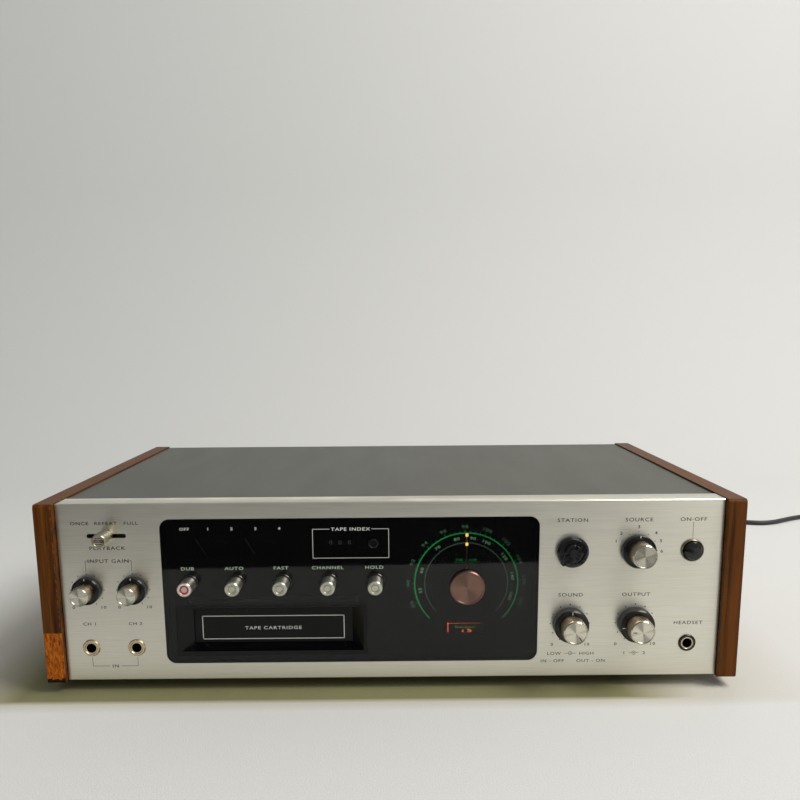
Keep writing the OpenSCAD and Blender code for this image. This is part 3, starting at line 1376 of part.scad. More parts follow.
module plug() {
    blade = [17, 1.6, 6.4];
    blade_pitch = 12.7;
    color([0.14, 0.14, 0.14]) {
        translate([plug_at[0], plug_at[1], plug_at[2]]) rotate([0, -90, 0])
            rotate_extrude() polygon([[0, 0], [lead_d / 2 + 1, 0], [lead_d / 2 + 2.5, plug_lead], [0, plug_lead]]);
        translate([plug_at[0] - plug_lead - plug_body[0], plug_at[1] - plug_body[1] / 2, 0])
            cube(plug_body);
        for (s = [-1, 1])
            translate([plug_at[0] - plug_lead - plug_body[0] - blade[0], plug_at[1] + s * blade_pitch / 2 - blade[1] / 2, plug_at[2] - blade[2] / 2])
                cube(blade);
    }
}

side_panel_left();
side_panel_right();
top_cover();
chassis();
rear_panel();
front_panel();
feet();
case_screws();
smoked_window();
cartridge_bezel();
dial_tray();
sub_panel();
dial_cap();
tuning_capacitor();
dial_cord();
button_bezels();
panel_controls();
jacks();
panel_meters();
tape_counter();
transport_deck();
drive_motor();
drive_belt();
power_transformer();
circuit_boards();
rear_connectors();
strain_relief();
cord();
cord_coil();
plug();
cartridge_door();
function_lever();
rec_knob_left();
rec_knob_right();
rec_button();
level_button();
forward_button();
program_button();
pause_button();
counter_reset();
power_button();
tuning_knob();
tuning_shaft();
dial_pointer();
capacitor_rotor();
selector_knob();
tone_ring();
tone_knob();
tone_rotor();
volume_ring();
volume_knob();
counter_units();
counter_tens();
counter_hundreds();
left_needle();
right_needle();
tuning_needle();
tape_head();
capstan();
motor_pulley();
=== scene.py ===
"""Dresses the solids of an eight track recorder with a built-in receiver.

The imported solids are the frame. Every piece made here sits on them and rides on their bodies: finishes, the
printed legends, the dial and its lamps, the knobs' knurling, the mains lead, and the studio round it all.
Places and sizes on the case are millimetres; all other lengths are metres.
"""

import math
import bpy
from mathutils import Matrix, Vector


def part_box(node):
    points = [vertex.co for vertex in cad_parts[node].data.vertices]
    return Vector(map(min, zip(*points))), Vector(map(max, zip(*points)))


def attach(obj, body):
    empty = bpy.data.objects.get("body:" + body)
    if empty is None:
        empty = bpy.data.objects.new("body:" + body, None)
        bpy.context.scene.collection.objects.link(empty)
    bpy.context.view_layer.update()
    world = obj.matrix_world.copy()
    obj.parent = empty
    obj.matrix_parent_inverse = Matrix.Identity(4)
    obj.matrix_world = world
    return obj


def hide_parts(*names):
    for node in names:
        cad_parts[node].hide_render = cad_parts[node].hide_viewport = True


bl_info = {
    "name": "Eight Track Recorder",
    "version": (1, 0, 0),
    "blender": (4, 5, 0),
    "location": "View3D > Sidebar > Recorder",
    "description": "Finishes, legends, dial, lead and studio of an eight track recorder",
    "category": "Object",
}

import bmesh
import bpy
from bpy.props import FloatProperty, FloatVectorProperty, IntProperty, PointerProperty
from mathutils import Matrix, Vector

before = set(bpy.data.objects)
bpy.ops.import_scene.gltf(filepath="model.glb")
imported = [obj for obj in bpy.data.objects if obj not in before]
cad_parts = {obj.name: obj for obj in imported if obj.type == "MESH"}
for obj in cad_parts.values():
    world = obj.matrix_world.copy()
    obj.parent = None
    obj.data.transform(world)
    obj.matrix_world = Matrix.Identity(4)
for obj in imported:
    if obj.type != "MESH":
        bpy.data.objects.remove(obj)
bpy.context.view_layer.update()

MM = 0.001
CASE_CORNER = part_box("side_panel_left")[0]


def at(x, y, z):
    """A place in the case, in millimetres from its middle, its front and the cheeks' bottom edge."""
    return Vector((x * MM, CASE_CORNER.y + y * MM, CASE_CORNER.z + z * MM))


def case_mm(place):
    """The same place in the case's millimetres."""
    return Vector((place.x, place.y - CASE_CORNER.y, place.z - CASE_CORNER.z)) / MM


def corners(node):
    """The low and the high corner of a CAD node, in the case's millimetres."""
    return [case_mm(corner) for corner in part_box(node)]


def middle(node):
    """The middle of a CAD node, in the case's millimetres."""
    low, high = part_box(node)
    return case_mm((low + high) / 2)


def front(node):
    """How far back a CAD node's front is, in the case's millimetres."""
    return corners(node)[0].y


def tint(*shade):
    """A colour as it shows, red, green and blue from 0 to 255, as the shader's own linear values."""
    return tuple((c / 255 / 12.92) if c < 10.3 else ((c / 255 + 0.055) / 1.055) ** 2.4 for c in shade)


def scaled(shade, factor):
    """A darker or a lighter shade of a colour."""
    return tuple(min(1, factor * c) for c in shade)


PANEL_FACE = front("front_panel")
WINDOW_FACE = front("smoked_window")
TRAY_FACE = 13.5
METER_FACE = 19.2
PRINT_GAP = 0.03  # how far a print stands off its surface
DIAL = middle("dial_cap")
OUTER_RING = 34.6  # radii of the dial's two rings
INNER_RING = 27.9
CHEEK_INSIDE = 218.0
CHEEK_EDGE = 0.75  # depth of the cheeks' front edge
WOOD_JOINT = 223.0  # where the right cheek's two strips meet
WORN_TOP = 36.0  # top of the left cheek's worn corner
RIGHT_SIDE = 100.0  # x past which the power key and the headphone socket lie
PIN_LENGTH = 16.0
DIGIT_DROP = 14.0  # how far below the axle's level the digit that shows stands, in degrees
LETTER_RATIO = 0.729  # height of a capital, for a text of size 1
BLACK = tint(22, 22, 23)
COUNTER_WHEELS = ("counter_units", "counter_tens", "counter_hundreds")
KEYS = ("rec_button", "level_button", "forward_button", "program_button", "pause_button")
KEY_BODIES = ("rec_key", "level_key", "forward_key", "program_key", "pause_key")
NEEDLES = ("left_needle", "right_needle", "tuning_needle")


# ---------- what a user would change ----------


def colour(name, description, default):
    """A colour setting."""
    look = {"subtype": "COLOR", "min": 0, "max": 1}
    return FloatVectorProperty(name=name, description=description, default=default, **look)


def number(name, description, default, **look):
    """A number setting."""
    return FloatProperty(name=name, description=description, default=default, **look)


class RecorderColours(bpy.types.PropertyGroup):
    """Colours of the recorder's finishes."""

    wood_pale: colour("Pale wood", "Sapwood streaks of the cheeks", tint(116, 66, 14))
    wood_dark: colour("Dark wood", "Heartwood of the cheeks", tint(48, 23, 3))
    cover: colour("Cover", "Paint of the sheet steel cover", tint(82, 83, 75))
    aluminium: colour("Aluminium", "Brushed front panel", tint(240, 237, 222))
    rose: colour("Dial disc", "Rose-tinted disc in the middle of the dial", tint(140, 110, 98))
    legend: colour("Panel print", "Print on the aluminium", tint(24, 24, 26))
    window_print: colour("Window print", "Pale print on the window", tint(226, 228, 222))
    dial_green: colour("Dial green", "Lit ring and numbers of the dial", tint(40, 168, 84))
    lamp_amber: colour("Amber lamp", "Lamp of the tuning meter", tint(255, 96, 44))
    lead: colour("Lead", "Plastic of the mains lead", tint(44, 44, 46))


class RecorderLead(bpy.types.PropertyGroup):
    """The mains lead."""

    diameter: number("Diameter", "Over the lead's plastic", 0.0055, unit="LENGTH")
    coil_radius: number("Coil radius", "Mean radius", 0.030, unit="LENGTH")
    pitch: number("Pitch", "Distance between turns", 0.0061, unit="LENGTH")
    turns: IntProperty(name="Turns", description="Turns in each of the coil's two layers", default=3, min=2)


class RecorderStudio(bpy.types.PropertyGroup):
    """Camera and lights."""

    eye: FloatVectorProperty(
        name="Eye",
        description="Where the camera stands",
        default=(0.0046, -0.6495, 0.2344),
        subtype="TRANSLATION",
    )
    lens: number("Lens", "Focal length", 36.7, unit="CAMERA")
    tilt: number("Tilt", "Camera's tilt down", math.radians(10.3), subtype="ANGLE")
    turn: number("Turn", "Camera's turn right", math.radians(0.185), subtype="ANGLE")
    roll: number("Roll", "Camera's roll", math.radians(-0.441), subtype="ANGLE")
    rise: number("Shift", "Upward shift of the picture", 0.1043)
    floor: colour("Floor", "Floor and backdrop", tint(219, 220, 218))
    daylight: number("Daylight", "Strength of the light all round", 0.38, min=0)
    key: number("Key", "Power of the large lamp", 34.0, unit="POWER", min=0)


# ---------- modelling by hand ----------


def deselect():
    """Selects nothing, in object mode."""
    if bpy.context.object and bpy.context.object.mode != "OBJECT":
        bpy.ops.object.mode_set(mode="OBJECT")
    bpy.ops.object.select_all(action="DESELECT")


def pick(piece, *others):
    """Selects these objects only, the first one active."""
    deselect()
    for o in (piece, *others):
        o.select_set(True)
    bpy.context.view_layer.objects.active = piece


def edit_all(piece):
    """Opens a piece in edit mode with all of it selected."""
    pick(piece)
    bpy.ops.object.mode_set(mode="EDIT")
    bpy.ops.mesh.select_all(action="SELECT")


def settle(piece, name):
    """Names a finished piece and puts its place into its mesh."""
    pick(piece)
    bpy.ops.object.transform_apply(location=True, rotation=True, scale=True)
    piece.name = name
    piece.data.name = name
    return piece


def ride(piece, body, finish):
    """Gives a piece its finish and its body."""
    piece.data.materials.clear()
    piece.data.materials.append(finish)
    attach(piece, body)
    return piece


def printed(marks, name, body, finish):
    """One piece of several marks, riding on a body."""
    pick(*marks)
    if len(marks) > 1:
        bpy.ops.object.join()
    return ride(settle(bpy.context.object, name), body, finish)


def select_where(piece, test, kind="verts"):
    """In edit mode, selects the vertices or faces whose place passes the test."""
    bpy.ops.mesh.select_mode(type="VERT" if kind == "verts" else "FACE")
    bpy.ops.mesh.select_all(action="DESELECT")
    mesh = bmesh.from_edit_mesh(piece.data)
    for element in getattr(mesh, kind):
        place = element.co if kind == "verts" else element.calc_center_median()
        element.select_set(test(place, element))
    mesh.select_flush_mode()
    bmesh.update_edit_mesh(piece.data)


def turned(name, x, z, profile, sides=64, closed=False):
    """A turned piece round an axis along Y, from its outline of [radius, distance back].

    A circle is extruded and sized step by step. An open outline starts from a disc; a closed one makes a ring.
    """
    deselect()
    radius, back = profile[0]
    bpy.ops.mesh.primitive_circle_add(
        vertices=sides,
        radius=radius * MM,
        fill_type="NOTHING" if closed else "NGON",
        location=at(x, back, z),
        rotation=(math.pi / 2, 0, 0),
    )
    piece = bpy.context.object
    bpy.ops.object.transform_apply(location=True, rotation=True, scale=True)
    edit_all(piece)
    extrude = bpy.ops.mesh.extrude_edges_move if closed else bpy.ops.mesh.extrude_region_move
    for wide, deep in profile[1:] + (profile[:1] if closed else []):
        extrude(TRANSFORM_OT_translate={"value": (0, (deep - back) * MM, 0)})
        grow = wide / radius
        bpy.ops.transform.resize(value=(grow, 1, grow), center_override=at(x, deep, z))
        radius, back = wide, deep
    bpy.ops.mesh.select_all(action="SELECT")
    if closed:
        bpy.ops.mesh.remove_doubles(threshold=1e-6)
    bpy.ops.mesh.normals_make_consistent(inside=False)
    bpy.ops.object.mode_set(mode="OBJECT")
    bpy.ops.object.shade_smooth_by_angle(angle=math.radians(35 if closed else 30))
    return settle(piece, name)


def knurled(name, x, z, radius, start, end, teeth, height=0.28):
    """A sleeve with fine ridges along it, from start to end back from the front."""
    low, foot, top = radius - 0.1, radius + 0.02, radius + 0.06
    profile = [(low, end), (foot, end), (top, end - 0.3), (top, start + 0.3), (foot, start), (low, start)]
    sleeve = turned(name, x, z, profile, 2 * teeth, closed=True)
    centre = at(x, 0, z)

    def on_ridge(place, _):
        across, up = place.x - centre.x, place.z - centre.z
        step = round(math.atan2(across, up) / math.pi * teeth)
        return math.hypot(across, up) > (radius + 0.04) * MM and step % 2 == 0

    edit_all(sleeve)
    select_where(sleeve, on_ridge)
    grow = (radius + height) / radius
    bpy.ops.transform.resize(value=(grow, 1, grow), center_override=centre)
    bpy.ops.object.mode_set(mode="OBJECT")
    bpy.ops.object.shade_flat()
    return sleeve


def bar(low, high):
    """A thin printed bar or block between two corners."""
    deselect()
    size = Vector(high) - Vector(low)
    bpy.ops.mesh.primitive_cube_add(size=1, location=at(*((Vector(low) + Vector(high)) / 2)))
    bpy.context.object.scale = size * MM
    return settle(bpy.context.object, "bar")


def words(text, x, z, height, face, stretch=1.3, turn=0.0, weight=0.03):
    """Printed text on a face at a distance back, with its capitals' height and their middle at x, z.

    It is made large and then brought to size, so that the small openings in its letters stay open.
    """
    deselect()
    bpy.ops.object.text_add()
    letters = bpy.context.object
    size = height / LETTER_RATIO
    letters.data.body = text
    letters.data.align_x = "CENTER"
    letters.data.space_character = 1.16
    letters.data.offset = weight / size
    letters.data.resolution_u = 3
    bpy.ops.object.convert(target="MESH")
    letters = bpy.context.object
    letters.location = (0, -LETTER_RATIO / 2, 0)
    bpy.ops.object.transform_apply(location=True, rotation=False, scale=False)
    letters.scale = (stretch * size * MM, size * MM, size * MM)
    bpy.ops.object.transform_apply(location=False, rotation=False, scale=True)
    upright = Matrix.Rotation(turn, 4, "Y") @ Matrix.Rotation(math.pi / 2, 4, "X")
    letters.matrix_world = Matrix.Translation(at(x, face - PRINT_GAP, z)) @ upright
    return settle(letters, "words")


def line(x0, z0, x1, z1, face, thick=0.3):
    """A printed line, upright or level."""
    half = thick / 2
    return bar(
        (min(x0, x1) - half, face - PRINT_GAP, min(z0, z1) - half),
        (max(x0, x1) + half, face - PRINT_GAP / 2, max(z0, z1) + half),
    )


def dot(x, z, radius, face, sides=12):
    """A printed dot."""
    return turned("dot", x, z, [(radius, face - PRINT_GAP), (radius, face - PRINT_GAP / 2)], sides)


def round_axis(x, z, radius, degrees):
    """A place round an axis, in degrees clockwise from the top."""
    angle = math.radians(degrees)
    return x + radius * math.sin(angle), z + radius * math.cos(angle)


def tick(x, z, degrees, inner, outer, face, thick, name="tick"):
    """A printed line that points away from an axis."""
    mark = line(0, inner, 0, outer, face, thick)
    pick(mark)
    swing = Matrix.Rotation(math.radians(degrees), 4, "Y") @ Matrix.Translation(-at(0, 0, 0))
    mark.matrix_world = Matrix.Translation(at(x, 0, z)) @ swing
    return settle(mark, name)


def arc(x, z, inner, outer, start, end, face, steps=None):
    """A printed arc round an axis, from start to end in degrees clockwise from the top."""
    steps = steps or max(2, round(abs(end - start) / 3))
    deselect()
    bpy.ops.mesh.primitive_plane_add(size=1)
    piece = bpy.context.object
    bpy.ops.object.mode_set(mode="EDIT")
    bpy.ops.mesh.delete(type="ONLY_FACE")
    select_where(piece, lambda place, _: place.x < 0 or place.y < 0)
    bpy.ops.mesh.delete(type="VERT")
    bpy.ops.object.mode_set(mode="OBJECT")
    (x0, z0), (x1, z1) = (round_axis(x, z, radius, start) for radius in (inner, outer))
    piece.data.vertices[0].co = at(x0, face - PRINT_GAP, z0)
    edit_all(piece)
    step = ((x1 - x0) * MM, 0, (z1 - z0) * MM)
    bpy.ops.mesh.extrude_vertices_move(TRANSFORM_OT_translate={"value": step})
    bpy.ops.mesh.select_all(action="SELECT")
    centre, swing = at(x, face - PRINT_GAP, z), math.radians(end - start)
    bpy.ops.mesh.spin(steps=steps, angle=swing, center=centre, axis=(0, -1, 0))
    bpy.ops.object.mode_set(mode="OBJECT")
    for polygon in piece.data.polygons:
        if polygon.normal.y > 0:
            polygon.flip()
    piece.data.update()
    return settle(piece, "arc")


def frame_lines(low, high, face, thick, gap=None):
    """A printed rectangle; its top line may leave a gap for a caption."""
    (x0, z0), (x1, z1) = low, high
    sides = [(x0, z0, x0, z1), (x1, z0, x1, z1), (x0, z0, x1, z0)]
    sides += [(x0, z1, x1, z1)] if gap is None else [(x0, z1, gap[0], z1), (gap[1], z1, x1, z1)]
    return [line(*side, face, thick) for side in sides]


# ---------- finishes ----------


class Finish:
    """The nodes of one finish, built round its own shader."""

    def __init__(self, name, shade=(0.5, 0.5, 0.5), metallic=0.0, roughness=0.5, **sockets):
        self.material = bpy.data.materials.new(name)
        self.material.use_nodes = True
        self.tree = self.material.node_tree
        self.shader = self.tree.nodes["Principled BSDF"]
        self.shader.inputs["Base Color"].default_value = (*shade, 1)
        self.shader.inputs["Metallic"].default_value = metallic
        self.shader.inputs["Roughness"].default_value = roughness
        for socket, value in sockets.items():
            socket = socket.replace("_", " ").title().replace("Ior", "IOR")
            self.shader.inputs[socket].default_value = value
        self.places = None

    def node(self, kind, inputs=None, **settings):
        made = self.tree.nodes.new(kind)
        for setting, value in settings.items():
            setattr(made, setting, value)
        for socket, value in (inputs or {}).items():
            self.link(value, made.inputs[socket])
        return made

    def link(self, value, socket):
        if isinstance(value, bpy.types.NodeSocket):
            self.tree.links.new(value, socket)
        else:
            socket.default_value = value

    def place(self, scale=(1, 1, 1), move=(0, 0, 0)):
        """Object coordinates, scaled and moved."""
        self.places = self.places or self.node("ShaderNodeTexCoord").outputs["Object"]
        inputs = {"Vector": self.places, "Scale": scale, "Location": move}
        return self.node("ShaderNodeMapping", inputs).outputs[0]

    def case(self, x=0.0, z=0.0):
        """The place in the case's millimetres, from the axis at x, z."""
        move = (-x, -CASE_CORNER.y / MM, -CASE_CORNER.z / MM - z)
        return self.place((1 / MM,) * 3, move)

    def parts(self, place):
        """The three numbers of a place."""
        return self.node("ShaderNodeSeparateXYZ", {0: place}).outputs

    def vector(self, operation, first, second=(0, 0, 0)):
        return self.node("ShaderNodeVectorMath", {0: first, 1: second}, operation=operation).outputs

    def radius(self, x, z):
        """Distance from an axis along Y, in millimetres."""
        flat = self.vector("MULTIPLY", self.case(x, z), (1, 0, 1))[0]
        return self.vector("LENGTH", flat)["Value"]

    def noise(self, place, scale, detail=3.0, roughness=0.5, distortion=0.0):
        inputs = {"Vector": place, "Scale": scale, "Detail": detail}
        inputs |= {"Roughness": roughness, "Distortion": distortion}
        return self.node("ShaderNodeTexNoise", inputs).outputs["Fac"]

    def line_noise(self, value, scale, detail=3.0):
        """Noise along one number, such as the rings that turning leaves."""
        inputs = {"W": self.times(value, scale), "Scale": 1.0, "Detail": detail}
        return self.node("ShaderNodeTexNoise", inputs, noise_dimensions="1D").outputs["Fac"]

    def cells(self, place, scale, output="Color", **settings):
        inputs = {"Vector": place, "Scale": scale}
        return self.node("ShaderNodeTexVoronoi", inputs, **settings).outputs[output]

    def one_of(self, colour):
        """A number from the red of a cell's colour."""
        return self.node("ShaderNodeSeparateColor", {0: colour}).outputs[0]

    def wave(self, scale, direction, distortion=0.0):
        inputs = {"Vector": self.place(), "Scale": scale, "Distortion": distortion}
        return self.node("ShaderNodeTexWave", inputs, bands_direction=direction).outputs["Fac"]

    def ramp(self, value, *stops, smooth=False):
        """A colour ramp of (place, colour or grey)."""
        made = self.node("ShaderNodeValToRGB", {"Fac": value})
        ramp = made.color_ramp
        ramp.interpolation = "EASE" if smooth else "LINEAR"
        while len(ramp.elements) < len(stops):
            ramp.elements.new(1.0)
        for element, (position, shade) in zip(ramp.elements, stops):
            element.position = position
            shade = (shade,) * 3 if isinstance(shade, (int, float)) else shade
            element.color = (*shade, 1)
        return made.outputs["Color"]

    def slope(self, value, start, end, first, last):
        """A number that runs from first to last between two places."""
        return self.node("ShaderNodeMapRange", {0: value, 1: start, 2: end, 3: first, 4: last}).outputs[0]

    def mix(self, share, first, second, kind="MIX"):
        made = self.node("ShaderNodeMix", data_type="RGBA", blend_type=kind)
        self.link(share, made.inputs[0])
        for socket, value in ((made.inputs[6], first), (made.inputs[7], second)):
            if isinstance(value, (int, float)):
                value = (value,) * 3
            self.link(value if isinstance(value, bpy.types.NodeSocket) else (*value, 1), socket)
        return made.outputs[2]

    def maths(self, operation, first, second=0.0):
        return self.node("ShaderNodeMath", {0: first, 1: second}, operation=operation).outputs[0]

    def times(self, first, second):
        return self.maths("MULTIPLY", first, second)

    def plus(self, first, second):
        return self.maths("ADD", first, second)

    def less(self, first, second):
        return self.maths("SUBTRACT", first, second)

    def past(self, value, limit):
        """1 where the value is above the limit."""
        return self.maths("GREATER_THAN", value, limit)

    def below(self, value, limit):
        """1 where the value is below the limit."""
        return self.maths("LESS_THAN", value, limit)

    def bump(self, height, depth, strength=1.0):
        """Relief of that depth, in metres."""
        inputs = {"Height": height, "Distance": depth, "Strength": strength}
        return self.node("ShaderNodeBump", inputs).outputs["Normal"]

    def grain(self, axis):
        """The direction of the marks that turning or brushing leaves round or across an axis."""
        return self.node("ShaderNodeTangent", direction_type="RADIAL", axis=axis).outputs[0]

    def use(self, **sockets):
        """Links values to the shader's sockets. Lit print shines too little to be sampled as a lamp."""
        if "emission_strength" in sockets:
            self.material.cycles.emission_sampling = "NONE"
        for socket, value in sockets.items():
            self.link(value, self.shader.inputs[socket.replace("_", " ").title()])
        return self.material


def dress(material, *nodes):
    """Gives CAD nodes a finish."""
    for node in nodes:
        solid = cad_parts[node]
        if not solid.material_slots:
            solid.data.materials.append(material)
        for slot in solid.material_slots:
            slot.material = material


def turned_metal(
    name, shade, x=0, z=0, roughness=0.3, rings=6.0, skirt_from=None, tan_reflection_from=None, ray_reflection=0.0
):
    """Turned aluminium with fine rings round an axis.

    Its side, behind a distance back, is painted warm tan, a painted reflection, and its skirt is black. A face
    may get bright and dark sectors round the axis: a painted reflection of the highlights that turning gives
    it.
    """
    metal = Finish(name, shade, 1.0, roughness, anisotropic=0.85, anisotropic_rotation=0.25)
    back = metal.parts(metal.case())[1]
    fine = metal.line_noise(metal.radius(x, z), rings)
    along = metal.line_noise(back, rings / 2)
    smudge = metal.noise(metal.place(), 120.0, 2.0)
    base = metal.mix(fine, scaled(shade, 0.9), scaled(shade, 1.04))
    # painted reflection: bright and dark sectors round the axis stand in for the highlights of a turned face
    if ray_reflection:
        place = metal.parts(metal.case(x, z))
        angle = metal.maths("ARCTAN2", place[0], place[2])
        wide = metal.maths("ABSOLUTE", metal.maths("SINE", metal.plus(angle, 0.7)))
        narrow = metal.maths("ABSOLUTE", metal.maths("SINE", metal.plus(metal.times(angle, 2.0), 0.5)))
        sector_reflection = metal.ramp(
            metal.times(metal.plus(wide, narrow), 0.5), (0.25, ray_reflection), (0.75, 0.0), smooth=True
        )
        base = metal.mix(sector_reflection, base, scaled(shade, 0.22))
    # painted reflection: behind that distance the side is tinted warm tan
    if tan_reflection_from is not None:
        side = metal.mix(along, tint(176, 158, 130), tint(218, 204, 178))
        base = metal.mix(metal.past(back, tan_reflection_from), base, side)
    rough = metal.ramp(smudge, (0.3, roughness - 0.04), (0.75, roughness + 0.06))
    metal.use(tangent=metal.grain("Y"), normal=metal.bump(metal.plus(fine, along), 0.000002, 0.8))
    if skirt_from is None:
        return metal.use(base_color=base, roughness=rough)
    skirt = metal.past(back, skirt_from)
    return metal.use(
        base_color=metal.mix(skirt, base, BLACK),
        roughness=metal.mix(skirt, rough, 0.26),
        metallic=metal.less(1.0, skirt),
    )


def drawn_metal(name, shade):
    """Bright metal with fine marks across Z."""
    metal = Finish(name, shade, 1.0, 0.24, anisotropic=0.6, anisotropic_rotation=0.25)
    marks = metal.noise(metal.place((30, 30, 2200)), 1.0)
    return metal.use(
        base_color=metal.mix(marks, scaled(shade, 0.8), shade),
        normal=metal.bump(marks, 0.00001, 0.6),
        tangent=metal.grain("Z"),
    )


def moulded_plastic(name, shade=BLACK, roughness=0.3, grain=0.00003, fine=1400.0, specular=0.5):
    """Moulded plastic: a faint grain and an uneven sheen."""
    plastic = Finish(name, shade, roughness=roughness, specular_ior_level=specular)
    cloud = plastic.noise(plastic.place(), 70.0, 4.0)
    speck = plastic.noise(plastic.place(), fine, 2.0)
    return plastic.use(
        base_color=plastic.mix(cloud, scaled(shade, 0.85), scaled(shade, 1.15)),
        roughness=plastic.ramp(cloud, (0.3, roughness - 0.05), (0.7, roughness + 0.08)),
        normal=plastic.bump(speck, grain, 0.6),
    )


def lead_plastic(name, shade):
    """Soft plastic with a slight sheen and faint drawn lines."""
    plastic = Finish(name, tuple(shade), roughness=0.42)
    mottle = plastic.noise(plastic.place(), 160.0, 4.0)
    fine = plastic.noise(plastic.place(), 1800.0, 2.0)
    sheen = plastic.ramp(mottle, (0.3, 0.36), (0.7, 0.52))
    return plastic.use(roughness=sheen, normal=plastic.bump(fine, 0.00008, 0.5))


def sheet_metal(name, shade, roughness=0.35, spangle=0.5):
    """Plated sheet: crystals that differ a little in tone, and rolling marks."""
    metal = Finish(name, shade, 1.0, roughness)
    cell = metal.one_of(metal.cells(metal.place(), 260.0))
    rolled = metal.noise(metal.place((1, 14, 14)), 60.0, 4.0)
    tone = metal.plus(metal.times(cell, spangle), metal.times(rolled, 1 - spangle))
    return metal.use(
        base_color=metal.mix(tone, scaled(shade, 0.8), shade),
        roughness=metal.ramp(tone, (0.2, roughness - 0.08), (0.8, roughness + 0.1)),
        normal=metal.bump(rolled, 0.00002, 0.5),
    )


def ink(name, shade, glow=0.0):
    """Screen print: slightly uneven ink, which may be lit from behind."""
    print_ink = Finish(name, shade, roughness=0.45)
    patchy = print_ink.noise(print_ink.place(), 1200.0)
    tone = print_ink.mix(patchy, scaled(shade, 0.8), scaled(shade, 1.1))
    print_ink.use(base_color=tone)
    if glow:
        print_ink.use(emission_color=tone, emission_strength=glow)
    return print_ink.material


# ---------- the case and what stands on its front ----------


class RECORDER_OT_wood(bpy.types.Operator):
    """Gives the cheeks their walnut, with the grain upright on the front edge and one worn corner"""

    bl_idname = "recorder.wood"
    bl_label = "Wooden cheeks"

    def execute(self, context):
        colours = context.scene.recorder_colours
        dark, pale = tuple(colours.wood_dark), tuple(colours.wood_pale)
        between = tuple((a + b) / 2 for a, b in zip(dark, pale))
        wood = Finish("walnut", roughness=0.42, specular_ior_level=0.12)
        x, y, z = wood.parts(wood.case())[0:3]
        on_front = wood.below(y, CHEEK_EDGE)
        lengthwise = wood.noise(wood.place((120, 5, 120)), 1.0, 5.0, 0.6, 0.8)
        upright = wood.noise(wood.place((160, 90, 7)), 1.0, 5.0, 0.6, 0.8)
        figure = wood.mix(on_front, lengthwise, upright)
        long_pores = wood.noise(wood.place((1500, 50, 1500)), 1.0, 2.0)
        upright_pores = wood.noise(wood.place((1900, 600, 60)), 1.0, 2.0)
        pores = wood.mix(on_front, long_pores, upright_pores)
        body = wood.ramp(figure, (0.3, dark), (0.5, between), (0.72, pale))
        body = wood.mix(wood.ramp(pores, (0.3, 0.75), (0.42, 0.0)), body, tint(40, 22, 12))
        # the right cheek's edge is glued up of two strips
        strip = wood.times(on_front, wood.past(x, WOOD_JOINT))
        body = wood.mix(wood.times(strip, 0.45), body, tint(112, 62, 24))
        # varnish is chipped along the left cheek's inner edge
        chip = wood.noise(wood.place(), 330.0, 3.0, 0.6)
        near_edge = wood.times(on_front, wood.maths("COMPARE", x, -CHEEK_INSIDE - 0.7))
        chipped = wood.times(near_edge, wood.ramp(chip, (0.5, 0.0), (0.56, 1.0)))
        body = wood.mix(chipped, body, tint(132, 66, 34))
        # the worn corner: bare pale veneer up to a straight edge, broken away at the bottom
        speckle = wood.noise(wood.place((700, 700, 260)), 1.0, 4.0, 0.7)
        low = wood.below(wood.plus(z, wood.times(chip, 1.2)), WORN_TOP)
        worn = wood.times(wood.times(on_front, low), wood.below(x, 0.0))
        veneer = ((0.32, tint(84, 36, 6)), (0.48, tint(166, 82, 10)), (0.7, tint(210, 126, 32)))
        body = wood.mix(worn, body, wood.ramp(speckle, *veneer))
        broken = wood.below(z, wood.times(wood.noise(wood.place(), 420.0, 2.0), 7.0))
        body = wood.mix(wood.times(worn, broken), body, tint(38, 24, 14))
        relief = wood.plus(wood.times(pores, 0.6), wood.times(figure, 0.4))
        sheen = wood.ramp(figure, (0.3, 0.36), (0.7, 0.5))
        walnut = wood.use(base_color=body, roughness=sheen, normal=wood.bump(relief, 0.00012, 0.7))
        dress(walnut, "side_panel_left", "side_panel_right")
        return {"FINISHED"}


